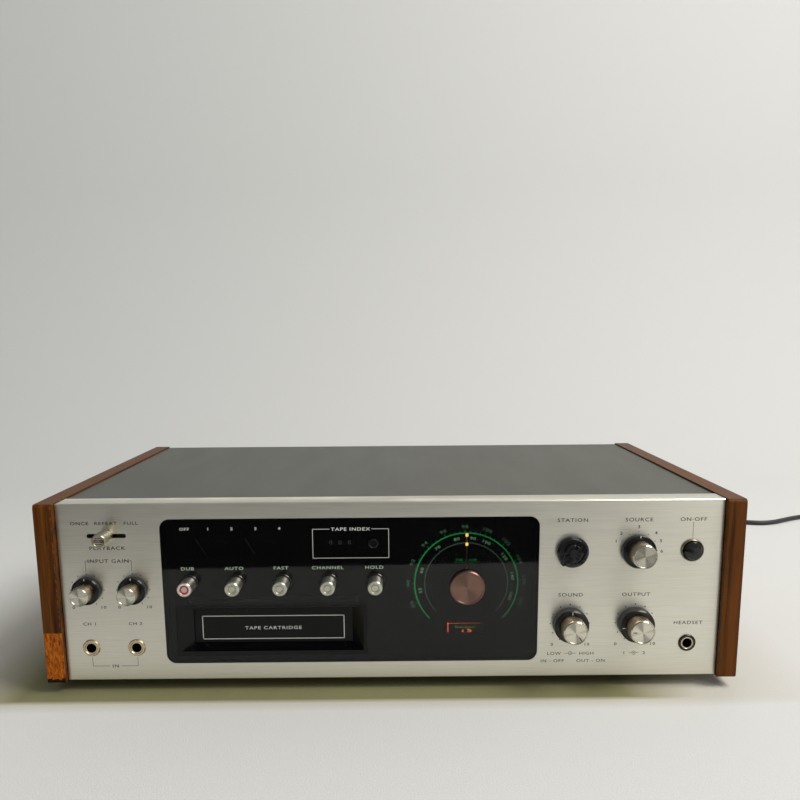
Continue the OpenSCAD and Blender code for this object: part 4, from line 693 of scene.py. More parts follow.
class RECORDER_OT_case(bpy.types.Operator):
    """Gives the cover, the brushed panel, the chassis, the rear and the feet their finishes"""

    bl_idname = "recorder.case"
    bl_label = "Case finishes"

    def execute(self, context):
        colours = context.scene.recorder_colours
        dress(self.cover(tuple(colours.cover)), "top_cover")
        dress(self.panel(tuple(colours.aluminium)), "front_panel")
        zinc = sheet_metal("zinc_plate", tint(196, 198, 196), 0.36)
        dress(zinc, "chassis", "sub_panel", "transport_deck")
        dress(sheet_metal("rear_zinc", tint(176, 178, 176), 0.42), "rear_panel")
        dress(moulded_plastic("foot_rubber", tint(30, 30, 30), 0.7, 0.0001, 900.0), "feet")
        dress(turned_metal("screw_steel", tint(150, 150, 146), roughness=0.32), "case_screws")
        return {"FINISHED"}

    @staticmethod
    def cover(shade):
        """Baked paint with a fine even wrinkle, rubbed in a few places; the wrinkle's hollows get painted
        shade.
        """
        paint = Finish("cover_paint", shade, roughness=0.46)
        wrinkle = paint.noise(paint.place(), 1300.0, 3.0, 0.55, 0.6)
        cloud = paint.noise(paint.place((6, 10, 6)), 1.0, 4.0)
        rub = paint.noise(paint.place((40, 8, 40)), 1.0)
        tone = paint.mix(cloud, scaled(shade, 0.97), scaled(shade, 1.03))
        # painted shade: the paint is darkened in the wrinkle's hollows
        hollow_shade = paint.ramp(wrinkle, (0.35, 0.35), (0.6, 0.0))
        return paint.use(
            base_color=paint.mix(hollow_shade, tone, scaled(shade, 0.55)),
            roughness=paint.ramp(rub, (0.3, 0.47), (0.7, 0.52)),
            normal=paint.bump(wrinkle, 0.00016, 0.8),
        )

    @staticmethod
    def panel(shade):
        """Aluminium brushed from side to side."""
        metal = Finish("brushed_panel", shade, 1.0, 0.34, anisotropic=0.7, anisotropic_rotation=0.25)
        fine = metal.noise(metal.place((40, 1, 3200)), 1.0)
        bands = metal.noise(metal.place((24, 1, 1500)), 1.0, 4.0, 0.6)
        haze = metal.times(metal.noise(metal.place((5, 1, 12)), 1.0), 0.2)
        streak = metal.plus(metal.times(fine, 0.6), metal.times(bands, 0.4))
        share = metal.ramp(streak, (0.3, 0.0), (0.7, 1.0))
        tone = metal.mix(share, scaled(shade, 0.84), scaled(shade, 1.04))
        return metal.use(
            base_color=metal.mix(haze, tone, scaled(shade, 0.8)),
            roughness=metal.ramp(streak, (0.3, 0.28), (0.7, 0.42)),
            normal=metal.bump(streak, 0.00003, 0.5),
            tangent=metal.grain("Z"),
        )


class RECORDER_OT_window(bpy.types.Operator):
    """Gives the smoked window and the black pieces in and behind it their finishes"""

    bl_idname = "recorder.window"
    bl_label = "Window and tray"

    def execute(self, context):
        smoke = Finish("smoked_window", tint(8, 8, 10), roughness=0.03, ior=1.49, alpha=0.6)
        wipes = smoke.noise(smoke.place((30, 1, 90)), 1.0, 4.0)
        dust = smoke.ramp(smoke.noise(smoke.place(), 1500.0, 2.0), (0.6, 0.0), (0.8, 0.06))
        smoke.use(
            base_color=smoke.mix(dust, tint(8, 8, 10), tint(36, 36, 38)),
            roughness=smoke.ramp(wipes, (0.4, 0.02), (0.8, 0.06)),
        )
        dress(smoke.material, "smoked_window")
        gloss = moulded_plastic("bezel_gloss", tint(8, 9, 11), 0.1, 0.000004, 1400.0, 0.25)
        dress(gloss, "cartridge_bezel")
        dress(moulded_plastic("tray_black", tint(12, 12, 13), 0.65, 0.000001), "dial_tray")
        door = moulded_plastic("door_plastic", tint(9, 9, 10), 0.3, 0.000003, 1800.0, 0.22)
        dress(door, "cartridge_door")
        black = moulded_plastic("instrument_black", tint(20, 20, 21), 0.5)
        dress(black, "panel_meters", "tape_counter")
        dress(moulded_plastic("wheel_black", tint(14, 14, 15), 0.4), *COUNTER_WHEELS)
        key = moulded_plastic("key_gloss", tint(14, 14, 17), 0.12, 0.000008)
        dress(key, "counter_reset", "power_button")
        return {"FINISHED"}


class RECORDER_OT_knobs(bpy.types.Operator):
    """Gives the knobs, keys, sockets and their rings their finishes"""

    bl_idname = "recorder.knobs"
    bl_label = "Knob finishes"

    def execute(self, context):
        skirts = {"rec_knob_left": -0.1, "rec_knob_right": -0.1, "selector_knob": -0.6}
        for node in (*skirts, "tone_knob", "volume_knob"):
            spot = middle(node)
            metal = turned_metal(
                f"{node}_metal", tint(222, 217, 200), spot.x, spot.z, 0.22,
                skirt_from=skirts.get(node), tan_reflection_from=front(node) + 0.45, ray_reflection=0.6,
            )
            dress(metal, node)
        spot = middle("function_lever")
        dress(turned_metal("lever_metal", tint(214, 206, 184), spot.x, spot.z), "function_lever")
        for node in KEYS:
            spot = middle(node)
            dress(turned_metal(f"{node}_metal", tint(226, 224, 208), spot.x, spot.z, 0.34, 4.0), node)
        rose = tuple(context.scene.recorder_colours.rose)
        dress(turned_metal("dial_disc", rose, DIAL.x, DIAL.z, 0.34, 5.0, ray_reflection=0.2), "dial_cap")
        dress(moulded_plastic("ring_black", tint(20, 20, 21)), "tone_ring", "volume_ring")
        core = moulded_plastic("core_black", tint(12, 13, 18), 0.12, 0.0002, 420.0, 0.6)
        dress(core, "tuning_knob")
        dress(self.key_bezels(), "button_bezels")
        dress(self.sockets(), "jacks")
        return {"FINISHED"}

    @staticmethod
    def key_bezels():
        """Gloss black, but for the power key's metal ring."""
        bezel = Finish("key_bezels", tint(12, 12, 14), roughness=0.16)
        metal = bezel.past(bezel.parts(bezel.case())[0], RIGHT_SIDE)
        cloud = bezel.ramp(bezel.noise(bezel.place(), 300.0), (0.3, 0.12), (0.7, 0.24))
        return bezel.use(
            base_color=bezel.mix(metal, tint(12, 12, 14), tint(146, 138, 124)),
            metallic=metal,
            roughness=bezel.plus(cloud, bezel.times(metal, 0.16)),
        )

    @staticmethod
    def sockets():
        """Nickel; inside the bore the walls are painted near black as shade, and the headphone socket has a
        black nut.
        """
        bore_radius, nut_radius = 3.4, 4.2
        nickel = Finish("socket_nickel", tint(206, 190, 158), 1.0, 0.24)
        place = nickel.parts(nickel.case())
        low = middle("jacks").z
        spots = ("rec_knob_left", "rec_knob_right", "power_button")
        left, right, phones = (nickel.radius(middle(node).x, low) for node in spots)
        nearest = nickel.maths("MINIMUM", nickel.maths("MINIMUM", left, right), phones)
        bore = nickel.below(nearest, bore_radius)
        # painted shade: behind the socket's mouth the bore's walls are near black, not metallic
        deep = nickel.times(bore, nickel.past(place[1], PANEL_FACE - 0.4))
        nut = nickel.times(nickel.past(place[0], RIGHT_SIDE), nickel.past(phones, nut_radius))
        dark = nickel.maths("MAXIMUM", deep, nut)
        cloud = nickel.noise(nickel.place(), 500.0)
        tone = nickel.mix(cloud, tint(176, 158, 126), tint(222, 208, 178))
        return nickel.use(
            base_color=nickel.mix(dark, tone, tint(10, 10, 11)),
            metallic=nickel.less(1.0, dark),
            roughness=nickel.ramp(cloud, (0.3, 0.18), (0.7, 0.34)),
        )


# ---------- what is inside and behind ----------


class RECORDER_OT_works(bpy.types.Operator):
    """Gives everything inside the case its finish"""

    bl_idname = "recorder.works"
    bl_label = "Works"

    def execute(self, context):
        dress(sheet_metal("control_steel", tint(158, 158, 154), 0.36, 0.3), "panel_controls")
        dress(self.tuning_shaft(), "tuning_shaft")
        dress(turned_metal("head_steel", tint(186, 186, 182), roughness=0.2), "tape_head")
        dress(drawn_metal("capstan_metal", tint(196, 194, 188)), "capstan")
        dress(drawn_metal("motor_pulley_metal", tint(196, 164, 92)), "motor_pulley")
        dress(sheet_metal("motor_can", tint(170, 170, 164), 0.3, 0.15), "drive_motor")
        vanes = sheet_metal("vane_aluminium", tint(206, 206, 202), 0.32, 0.3)
        dress(vanes, "tuning_capacitor", "capacitor_rotor")
        dress(self.thread(), "dial_cord")
        dress(moulded_plastic("belt_rubber", tint(24, 24, 24), 0.6, 0.00004), "drive_belt")
        dress(moulded_plastic("drum_brown", tint(92, 54, 28), 0.5), "tone_rotor")
        dress(moulded_plastic("needle_paint", tint(150, 150, 146), 0.5), *NEEDLES)
        dress(moulded_plastic("pointer_paint", tint(196, 160, 110), 0.5), "dial_pointer")
        dress(self.iron(), "power_transformer")
        dress(self.boards(), "circuit_boards")
        return {"FINISHED"}

    @staticmethod
    def tuning_shaft():
        """Turned steel; its end in front of the panel, in the knob, is near black and not metallic."""
        spot = middle("tuning_knob")
        grained = {"anisotropic": 0.6, "anisotropic_rotation": 0.25}
        steel = Finish("shaft_steel", tint(190, 190, 186), 1.0, 0.26, **grained)
        rings = steel.line_noise(steel.radius(spot.x, spot.z), 4.0)
        outside = steel.below(steel.parts(steel.case())[1], PANEL_FACE)
        tone = steel.mix(rings, tint(150, 150, 146), tint(196, 196, 192))
        return steel.use(
            base_color=steel.mix(outside, tone, tint(16, 16, 20)),
            metallic=steel.less(1.0, outside),
            normal=steel.bump(rings, 0.00001, 0.6),
            tangent=steel.grain("Y"),
        )

    @staticmethod
    def thread():
        """A braided nylon cord."""
        thread = Finish("dial_thread", tint(210, 196, 150), roughness=0.7, sheen_weight=0.2)
        braid = thread.wave(1600.0, "DIAGONAL", 2.0)
        tone = thread.mix(braid, tint(150, 132, 92), tint(216, 204, 162))
        return thread.use(base_color=tone, normal=thread.bump(braid, 0.00015, 0.8))

    @staticmethod
    def iron():
        """Laminated core with a taped winding in its middle."""
        half_winding = 12
        iron = Finish("core_iron", tint(70, 70, 72), 0.6, 0.45)
        place = iron.parts(iron.case())
        leaves = iron.line_noise(place[1], 3.0, 2.0)
        height = iron.maths("ABSOLUTE", iron.less(place[2], middle("power_transformer").z))
        coil = iron.below(height, half_winding)
        tape = iron.times(coil, iron.less(1.0, iron.past(leaves, 0.95)))
        core = iron.mix(leaves, tint(48, 48, 52), tint(110, 108, 104))
        tone = iron.mix(tape, core, tint(176, 132, 52))
        return iron.use(base_color=tone, normal=iron.bump(leaves, 0.0001, 0.6))

    @staticmethod
    def boards():
        """Pale laminate with copper tracks under a varnish; parts on it are dark, blue or bright."""
        board = Finish("circuit_board", roughness=0.4)
        top = corners("circuit_boards")[0].z + 2.0
        stands = board.past(board.parts(board.case())[2], top)
        tracks = board.cells(board.place((1, 1, 0)), 170.0, "Distance", distance="MANHATTAN")
        part = board.ramp(
            board.one_of(board.cells(board.place((1, 1, 0)), 48.0)),
            (0.0, tint(28, 28, 32)), (0.4, tint(40, 60, 104)),
            (0.7, tint(150, 78, 36)), (1.0, tint(176, 176, 172)),
        )
        copper = board.ramp(tracks, (0.42, 0.0), (0.46, 1.0))
        laminate = board.mix(copper, tint(168, 120, 66), tint(120, 96, 44))
        return board.use(base_color=board.mix(stands, laminate, part), normal=board.bump(tracks, 0.00008, 0.6))


class RECORDER_OT_rear(bpy.types.Operator):
    """Gives the rear sockets, the strain relief and the plug their finishes"""

    bl_idname = "recorder.rear"
    bl_label = "Rear finishes"

    def execute(self, context):
        shade = context.scene.recorder_colours.lead
        dress(self.connectors(), "rear_connectors")
        dress(lead_plastic("relief_plastic", shade), "strain_relief")
        dress(self.plug(tuple(shade)), "plug")
        return {"FINISHED"}

    @staticmethod
    def connectors():
        """Black strips with metal sleeves and aerial screws, and terminals with black and red levers."""
        sleeves_out, levers_out = 1.7, 8.05  # how far they stand out of the rear panel
        signal_side, aerial_from = 20.0, 52.0  # x left of which, and height above which, they lie
        lever_middle, lever_step = 62.0, 16.0
        sockets = Finish("rear_sockets", tint(24, 24, 24), roughness=0.4)
        x, y, z = sockets.parts(sockets.case())[0:3]
        behind = corners("rear_panel")[1].y
        pin = sockets.past(y, behind + sleeves_out)
        sleeve = sockets.times(pin, sockets.below(x, signal_side))
        aerial = sockets.times(pin, sockets.past(z, aerial_from))
        metal = sockets.maths("MAXIMUM", sleeve, aerial)
        terminals = sockets.times(sockets.past(y, behind + levers_out), sockets.past(x, signal_side))
        place = sockets.maths("PINGPONG", sockets.less(x, lever_middle), lever_step)
        red = sockets.past(place, lever_step / 2)
        levers = sockets.mix(red, tint(26, 26, 26), tint(150, 24, 20))
        cloud = sockets.noise(sockets.place(), 300.0)
        black = sockets.mix(cloud, tint(20, 20, 20), tint(34, 34, 34))
        return sockets.use(
            base_color=sockets.mix(metal, sockets.mix(terminals, black, levers), tint(200, 196, 182)),
            metallic=metal,
            roughness=sockets.ramp(cloud, (0.3, 0.28), (0.7, 0.42)),
        )

    @staticmethod
    def plug(shade):
        """A moulded plug with two brass pins."""
        plug = Finish("plug_plastic", shade, roughness=0.4)
        pins = plug.below(plug.parts(plug.case())[0], corners("plug")[0].x + PIN_LENGTH)
        cloud = plug.noise(plug.place(), 200.0, 4.0)
        fine = plug.noise(plug.place(), 1600.0, 2.0)
        tone = plug.mix(cloud, scaled(shade, 0.85), shade)
        return plug.use(
            base_color=plug.mix(pins, tone, tint(206, 182, 120)),
            metallic=pins,
            roughness=plug.ramp(cloud, (0.3, 0.34), (0.7, 0.5)),
            normal=plug.bump(fine, 0.00006, 0.5),
        )


# ---------- the lead ----------

# The lead's free stretch, as in the part's source, in metres in the frame of the whole object
LEAD_ROUTE = [
    (0.150, 0.180, 0.038), (0.150, 0.190, 0.036), (0.151, 0.202, 0.029), (0.153, 0.215, 0.019),
    (0.157, 0.229, 0.009), (0.164, 0.242, 0.0036), (0.175, 0.255, 0.0028), (0.192, 0.270, 0.0028),
    (0.215, 0.286, 0.0028), (0.242, 0.301, 0.0028), (0.272, 0.315, 0.0028), (0.304, 0.327, 0.0028),
    (0.336, 0.337, 0.0028), (0.366, 0.343, 0.0028), (0.394, 0.345, 0.0028), (0.418, 0.342, 0.0028),
    (0.437, 0.336, 0.0028), (0.454, 0.332, 0.0028), (0.471, 0.336, 0.0028), (0.489, 0.347, 0.0028),
    (0.507, 0.358, 0.0028), (0.527, 0.367, 0.0028), (0.549, 0.372, 0.0028), (0.570, 0.373, 0.0028),
]
COIL_X = 0.590  # the coil's middle, right of the object's middle
COIL_RINGS = 24  # points in a turn
TAIL = ((-0.006, 0.0003, 0), (-0.016, 0.0015, -0.0007), (-0.028, 0.001, -0.0019))  # from the coil to the plug


def smooth_path(points, steps):
    """The same curve through the listed points as the part's source has."""
    path = []
    for i in range(len(points) - 1):
        a, b = Vector(points[max(i - 1, 0)]), Vector(points[i])
        c, d = Vector(points[i + 1]), Vector(points[min(i + 2, len(points) - 1)])
        square, cube = 2 * a - 5 * b + 4 * c - d, 3 * b - a - 3 * c + d
        for k in range(steps):
            t = k / steps
            path.append(0.5 * (2 * b + (c - a) * t + square * t**2 + cube * t**3))
    return path + [Vector(points[-1])]


def lead_points(lead):
    """The whole lead: its free stretch, then the coil, which runs in, climbs a layer and runs out again."""
    half_turns = 4 * lead.turns - 1
    out = lead.coil_radius + lead.pitch * lead.turns / 2
    low = lead.diameter / 2 + 0.00005
    centre = Vector((COIL_X, LEAD_ROUTE[-1][1] - out, 0))
    start = Vector((COIL_X, LEAD_ROUTE[-1][1], low))
    straight = Vector((lead.diameter, 0, 0))
    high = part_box("strain_relief")[1]
    relief_end = Vector((middle("strain_relief").x * MM, high.y, LEAD_ROUTE[0][2] + 0.001))

    def coil_point(h):
        angle = math.radians(90 - 180 * h)
        radius = out - lead.pitch / 2 * (half_turns / 2 - abs(h - half_turns / 2))
        layer = min(1, max(0, h - (half_turns - 1) / 2))
        x, y = radius * math.cos(angle), radius * math.sin(angle)
        return centre + Vector((x, y, low + lead.pitch * layer))

    free = smooth_path([relief_end, *LEAD_ROUTE, start - straight, start], 4)
    coil = [coil_point(2 * k / COIL_RINGS) for k in range(2, COIL_RINGS // 2 * half_turns + 1)]
    tail = [coil[-1] + Vector(step) for step in TAIL]
    return free + [start + straight] + coil + tail, centre, out


def coil_tie(centre, out, lead):
    """A soft band round all the turns, on the coil's far side from the plug."""
    inner = out - lead.pitch * (2 * lead.turns - 1) / 2
    wide = (out - inner) / 2 + lead.diameter / 2 + 0.0007
    tall = (lead.pitch + lead.diameter) / 2 + 0.0006
    deselect()
    place = (centre.x + (out + inner) / 2, centre.y, tall + 0.0006)
    bpy.ops.mesh.primitive_cube_add(size=2, location=place)
    tie = bpy.context.object
    tie.scale = (wide, 0.0035, tall)
    settle(tie, "lead_tie")
    bpy.ops.object.mode_set(mode="EDIT")
    select_where(tie, lambda _, element: abs(element.normal.y) > 0.9, "faces")
    bpy.ops.mesh.delete(type="FACE")
    select_where(tie, lambda *_: True)
    bpy.ops.mesh.select_mode(type="EDGE")
    mesh = bmesh.from_edit_mesh(tie.data)
    for edge in mesh.edges:
        edge.select_set(abs((edge.verts[0].co - edge.verts[1].co).y) > 0.001)
    bmesh.update_edit_mesh(tie.data)
    bpy.ops.mesh.bevel(offset=0.0028, segments=6, affect="EDGES")
    bpy.ops.object.mode_set(mode="OBJECT")
    band = tie.modifiers.new("band", "SOLIDIFY")
    band.thickness = 0.0006
    band.offset = 1
    pick(tie)
    bpy.ops.object.modifier_apply(modifier="band")
    bpy.ops.object.shade_smooth_by_angle(angle=math.radians(40))
    plastic = Finish("tie_plastic", tint(30, 30, 32), roughness=0.45)
    ribs = plastic.bump(plastic.wave(700.0, "X"), 0.0002, 0.4)
    return ride(tie, "case", plastic.use(normal=ribs))


class RECORDER_OT_lead(bpy.types.Operator):
    """Lays the mains lead: one tube from its strain relief to its plug, with a tie round its coil"""

    bl_idname = "recorder.lead"
    bl_label = "Mains lead"

    def execute(self, context):
        lead = context.scene.recorder_lead
        points, centre, out = lead_points(lead)
        curve = bpy.data.curves.new("mains_lead", "CURVE")
        curve.dimensions = "3D"
        curve.bevel_depth = lead.diameter / 2
        curve.bevel_resolution = 4
        curve.use_fill_caps = True
        spline = curve.splines.new("POLY")
        spline.points.add(len(points) - 1)
        for point, place in zip(spline.points, points):
            point.co = (*place, 1)
            point.radius = 1
        spline.use_smooth = True
        tube = bpy.data.objects.new("mains_lead", curve)
        context.collection.objects.link(tube)
        curve.materials.append(lead_plastic("mains_lead_plastic", context.scene.recorder_colours.lead))
        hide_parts("cord", "cord_coil")
        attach(tube, "case")
        tie = coil_tie(centre, out, lead)
        return {"FINISHED"}


# ---------- print ----------


class RECORDER_OT_panel_print(bpy.types.Operator):
    """Prints the captions, dots and lines on the aluminium"""

    bl_idname = "recorder.panel_print"
    bl_label = "Panel print"

    def execute(self, context):
        face = PANEL_FACE
        left, right = middle("rec_knob_left"), middle("rec_knob_right")
        tone, volume = middle("tone_ring"), middle("volume_ring")
        selector, power = middle("selector_knob"), middle("power_button")
        mid = (left.x + right.x) / 2
        top, low, foot = 108.2, 16.6, 10.5  # heights of the captions' rows
        captions = (
            ("ONCE", -202.4, 108.6, 1.9), ("REPEAT", mid, 108.6, 1.9), ("FULL", -169.0, 108.6, 1.9),
            ("PLAYBACK", mid, 92.0, 2.1), ("INPUT GAIN", mid, 83.3, 2.1), ("CH 1", left.x, 40.2, 1.8),
            ("CH 2", right.x, 40.2, 1.8), ("IN", mid, foot, 2.0), ("STATION", tone.x, top, 2.1),
            ("SOURCE", volume.x, top, 2.1), ("ON·OFF", power.x, top, 2.1), ("SOUND", tone.x, 57.5, 2.1),
            ("OUTPUT", volume.x, 57.5, 2.1), ("HEADSET", power.x, 37.6, 2.0), ("LOW", 108.6, low, 1.8),
            ("HIGH", 130.4, low, 1.8), ("IN - OFF      OUT - ON", 121.4, 11.4, 1.8), ("1", 155.6, low, 1.8),
            ("2", 169.0, low, 1.8),
        )
        marks = [words(text, x, z, 1.18 * height, face, 1.28, weight=0.02) for text, x, z, height in captions]
        for spot, reach, z in ((left, 9.8, 51.7), (right, 9.8, 51.7), (tone, 11.6, 23.0), (volume, 12.4, 23.0)):
            marks.append(words("0", spot.x - reach, z, 2.0, face))
            marks.append(words("10", spot.x + reach, z, 2.0, face))
        # the six places of the source knob
        places = ((147.4, 93.9), (150.6, 99.2), (162.0, 103.4), (173.4, 99.2), (176.8, 93.9), (177.6, 86.9))
        for i, (x, z) in enumerate(places):
            marks.append(words(str(i + 1), x, z, 2.1, face))
            marks.append(dot(*round_axis(selector.x, selector.z, 12.6, -60 + 30 * i), 0.3, face, 10))
        # eleven dots from the lowest to the highest setting of a knob
        for spot in (tone, volume, left, right):
            radius, size = (13.0, 0.42) if spot in (tone, volume) else (11.0, 0.36)
            for i in range(11):
                marks.append(dot(*round_axis(spot.x, spot.z, radius, -150 + 30 * i), size, face))
        # brackets that tie a caption to its pair, and the power key's line
        lines = [(power.x, 96.2, power.x, 106.2)]
        for x, inward in ((left.x, 1), (right.x, -1)):
            lines += [(x, 83.3, mid - inward * 9.6, 83.3), (x, 76.2, x, 83.3)]
            lines += [(x, foot, mid - inward * 4.0, foot), (x, foot, x, middle("jacks").z - 7.0)]
        # the small rings that stand for the outer knobs
        for x, reach in ((119.6, 6.4), (162.2, 5.0)):
            marks.append(arc(x, low, 1.0, 1.3, 0, 360, face, 20))
            marks.append(dot(x, low, 0.4, face, 10))
            lines += [(x - reach / 1.6, low, x - 1.6, low), (x + 1.6, low, x + reach / 1.6, low)]
        marks += [line(*ends, face, 0.25) for ends in lines]
        legend = ink("panel_ink", tuple(context.scene.recorder_colours.legend))
        printed(marks, "panel_print", "case", legend)
        return {"FINISHED"}


class RECORDER_OT_window_print(bpy.types.Operator):
    """Prints the captions and the counter's frame on the window, and the frame on the door"""

    bl_idname = "recorder.window_print"
    bl_label = "Window print"

    def execute(self, context):
        face, door = WINDOW_FACE, front("cartridge_door")
        numbers = (("OFF", -134.6), ("1", -119.2), ("2", -103.8), ("3", -88.2), ("4", -72.7))
        pale = [words(text, x, 104.2, 1.9, face) for text, x in numbers]
        pale.append(words("TAPE INDEX", -26.3, 103.4, 2.2, face, 1.35))
        pale += frame_lines((-51.1, 83.9), (-1.4, 103.4), face, 0.32, (-40.2, -12.4))
        shade = tuple(context.scene.recorder_colours.window_print)
        printed(pale, "window_print", "case", ink("window_ink", shade))
        captions = zip(("DUB", "AUTO", "FAST", "CHANNEL", "HOLD"), KEYS)
        green = [words(text, middle(key).x - 0.8, 77.5, 2.2, face, 1.35) for text, key in captions]
        printed(green, "key_captions", "case", ink("caption_ink", tint(186, 208, 180)))
        border = frame_lines((-127.6, 25.9), (-32.2, 42.0), door, 0.55)
        border.append(words("TAPE CARTRIDGE", -80.0, 33.6, 2.3, door, 1.35))
        printed(border, "door_print", "door", ink("door_ink", tint(232, 232, 226)))
        return {"FINISHED"}


# ---------- the dial, the meters and the counter ----------

AM_PLACES = (  # the lower scale's numbers, and where they stand in degrees
    (55, -99), (60, -73), (70, -38), (80, -12), (90, 8), (100, 25), (120, 54), (140, 81), (160, 107),
)


class RECORDER_OT_dial(bpy.types.Operator):
    """Prints and lights the dial's two rings and numbers, and puts the two lit spots on its pointer"""

    bl_idname = "recorder.dial"
    bl_label = "Dial"

    def execute(self, context):
        green = tuple(context.scene.recorder_colours.dial_green)
        grey_green = tuple(0.25 * a + 0.75 * b for a, b in zip(green, tint(112, 126, 116)))
        x, z, face = DIAL.x, DIAL.z, TRAY_FACE
        outer = [arc(x, z, OUTER_RING - 0.4, OUTER_RING + 0.4, -135, 135, face)]
        inner = [arc(x, z, INNER_RING - 0.35, INNER_RING + 0.35, -135, 135, face)]
        start = OUTER_RING + 0.4
        for i in range(41):
            end = start + (1.5 if i % 4 == 0 else 0.9)
            outer.append(tick(x, z, -112 + 5.525 * i, start, end, face, 0.28))
        for _, degrees in AM_PLACES:
            inner.append(tick(x, z, degrees, INNER_RING + 0.4, INNER_RING + 1.3, face, 0.28))
        between = (OUTER_RING + INNER_RING) / 2
        upper = [self.number(88 + 2 * i, -112 + 22.1 * i, OUTER_RING + 4.4, 2.4) for i in range(11)]
        lower = [self.number(value, degrees, between, 2.1) for value, degrees in AM_PLACES]
        unit = [words("FM / AM", x, z + 16.2, 1.7, face, 1.5)]
        unit.append(line(x - 8.4, z + 14.6, x + 8.4, z + 14.6, face, 0.25))
        for marks, name, light, shade, glow in (
            (outer, "dial_outer_ring", "outer_ring_light", green, 2.9),
            (inner, "dial_inner_ring", "inner_ring_light", grey_green, 1.3),
            (upper, "dial_outer_numbers", "outer_number_light", tint(88, 140, 106), 2.6),
            (lower, "dial_inner_numbers", "inner_number_light", tint(150, 214, 150), 2.4),
            (unit, "dial_unit", "unit_light", green, 1.6),
        ):
            printed(marks, name, "case", self.lit(light, shade, glow))
        self.spots()
        return {"FINISHED"}

    @staticmethod
    def number(value, degrees, radius, height):
        x, z = round_axis(DIAL.x, DIAL.z, radius, degrees)
        return words(str(value), x, z, height, TRAY_FACE, 1.3, math.radians(degrees), 0.02)

    @staticmethod
    def lit(name, shade, glow):
        """Print lit by a lamp at the dial's upper left, weaker to the right and below."""
        light = Finish(name, shade, roughness=0.5)
        place = light.parts(light.case(DIAL.x, DIAL.z))
        across = light.slope(place[0], -30.0, 36.0, 1.0, 0.55)
        down = light.slope(place[2], -26.0, 8.0, 0.7, 1.0)
        patchy = light.ramp(light.noise(light.place(), 260.0), (0.3, 0.75), (0.7, 1.0))
        strength = light.times(light.times(light.times(across, down), patchy), glow)
        return light.use(emission_color=shade + (1,), emission_strength=strength)

    @staticmethod
    def spots():
        """Two amber light guides on the pointer's arm."""
        arm = front("dial_pointer")
        guides = []
        for radius in (INNER_RING, OUTER_RING - 0.5):
            z = DIAL.z + radius
            guide = bar((DIAL.x - 0.9, arm - 0.25, z - 1.0), (DIAL.x + 0.9, arm + 0.4, z + 1.0))
            edit_all(guide)
            bpy.ops.mesh.bevel(offset=0.0002, segments=2, affect="EDGES")
            bpy.ops.object.mode_set(mode="OBJECT")
            guides.append(guide)
        amber = Finish("pointer_light", tint(255, 214, 96), roughness=0.3)
        cloud = amber.noise(amber.place(), 900.0, 2.0)
        glow = amber.ramp(cloud, (0.3, tint(255, 196, 70)), (0.7, tint(255, 232, 150)))
        amber.use(emission_color=glow, base_color=glow, emission_strength=6.0)
        printed(guides, "pointer_lights", "pointer", amber.material)


class RECORDER_OT_meters(bpy.types.Operator):
    """Prints the faces of the two level meters and of the lit tuning meter"""

    bl_idname = "recorder.meters"
    bl_label = "Meter faces"

    def execute(self, context):
        face = METER_FACE
        dim = []
        for node in NEEDLES[:2]:
            x, z = self.pivot(node)
            dim.append(arc(x, z, 17.0, 17.25, -33, 10, face))
            dim.append(arc(x, z, 16.8, 17.5, 10, 33, face))
            for degrees in (-33, -20, -8, 2, 10, 18, 26, 33):
                dim.append(tick(x, z, degrees, 17.1, 18.3, face, 0.22))
            for text, degrees in (("20", -33), ("10", -20), ("5", -8), ("0", 10), ("3", 33)):
                spot = round_axis(x, z, 19.6, degrees)
                dim.append(words(text, *spot, 1.3, face, 1.2, math.radians(degrees)))
        printed(dim, "level_scales", "case", ink("scale_ink", tint(84, 86, 84)))
        x, z = self.pivot("tuning_needle")
        low, top, left, right = z - 2.4, z + 4.4, x - 11.8, x + 10.4
        edge = [line(left, low, left, top, face, 0.8), line(left, top, right, top, face, 0.35)]
        edge.append(line(left, low, left + 1.4, low, face, 0.5))
        red = self.glow("meter_edge_light", tint(255, 112, 74), 3.4, x)
        printed(edge, "tuning_meter_edge", "case", red)
        first, base = x - 6.6, z + 1.4
        scale = [line(first, base, x + 7.0, base, face, 0.25)]
        for i in range(11):
            place, reach = first + 1.36 * i, 1.5 if i % 5 == 0 else 0.9
            scale.append(line(place, base, place, base + reach, face, 0.25))
        green = self.glow("meter_scale_light", tint(150, 190, 60), 2.6, x)
        printed(scale, "tuning_meter_scale", "case", green)
        x, z = x + 1.0, z - 1.0
        lamp = turned("lamp", x, z, [(3.5, face - 0.35), (3.5, face - 0.1)], 32)
        edit_all(lamp)
        bpy.ops.transform.resize(value=(1, 1, 0.45), center_override=at(x, face, z))
        bpy.ops.object.mode_set(mode="OBJECT")
        amber = tuple(context.scene.recorder_colours.lamp_amber)
        printed([lamp], "tuning_meter_lamp", "case", self.lens(x, z, amber))
        return {"FINISHED"}

    @staticmethod
    def pivot(node):
        """The needle's pivot: its hub is the widest part, low in its box."""
        low, high = corners(node)
        return high.x - 1.3, low.z + 1.3

    @staticmethod
    def glow(name, shade, strength, x):
        """Print lit from the meter's left end."""
        light = Finish(name, shade, roughness=0.5)
        across = light.slope(light.parts(light.case(x, 0))[0], -11.0, 11.0, strength, 0.35 * strength)
        patchy = light.ramp(light.noise(light.place(), 500.0, 2.0), (0.3, 0.8), (0.7, 1.0))
        return light.use(emission_color=shade + (1,), emission_strength=light.times(across, patchy))

    @staticmethod
    def lens(x, z, shade):
        """A lit lens with a dark middle and rim."""
        lens = Finish("lamp_lens", shade, roughness=0.3)
        rings = lens.ramp(
            lens.times(lens.radius(x, z), 0.25),
            (0.1, tint(120, 26, 14)), (0.3, shade), (0.75, tint(255, 130, 76)), (0.85, tint(200, 56, 30)),
        )
        return lens.use(base_color=rings, emission_color=rings, emission_strength=2.6)


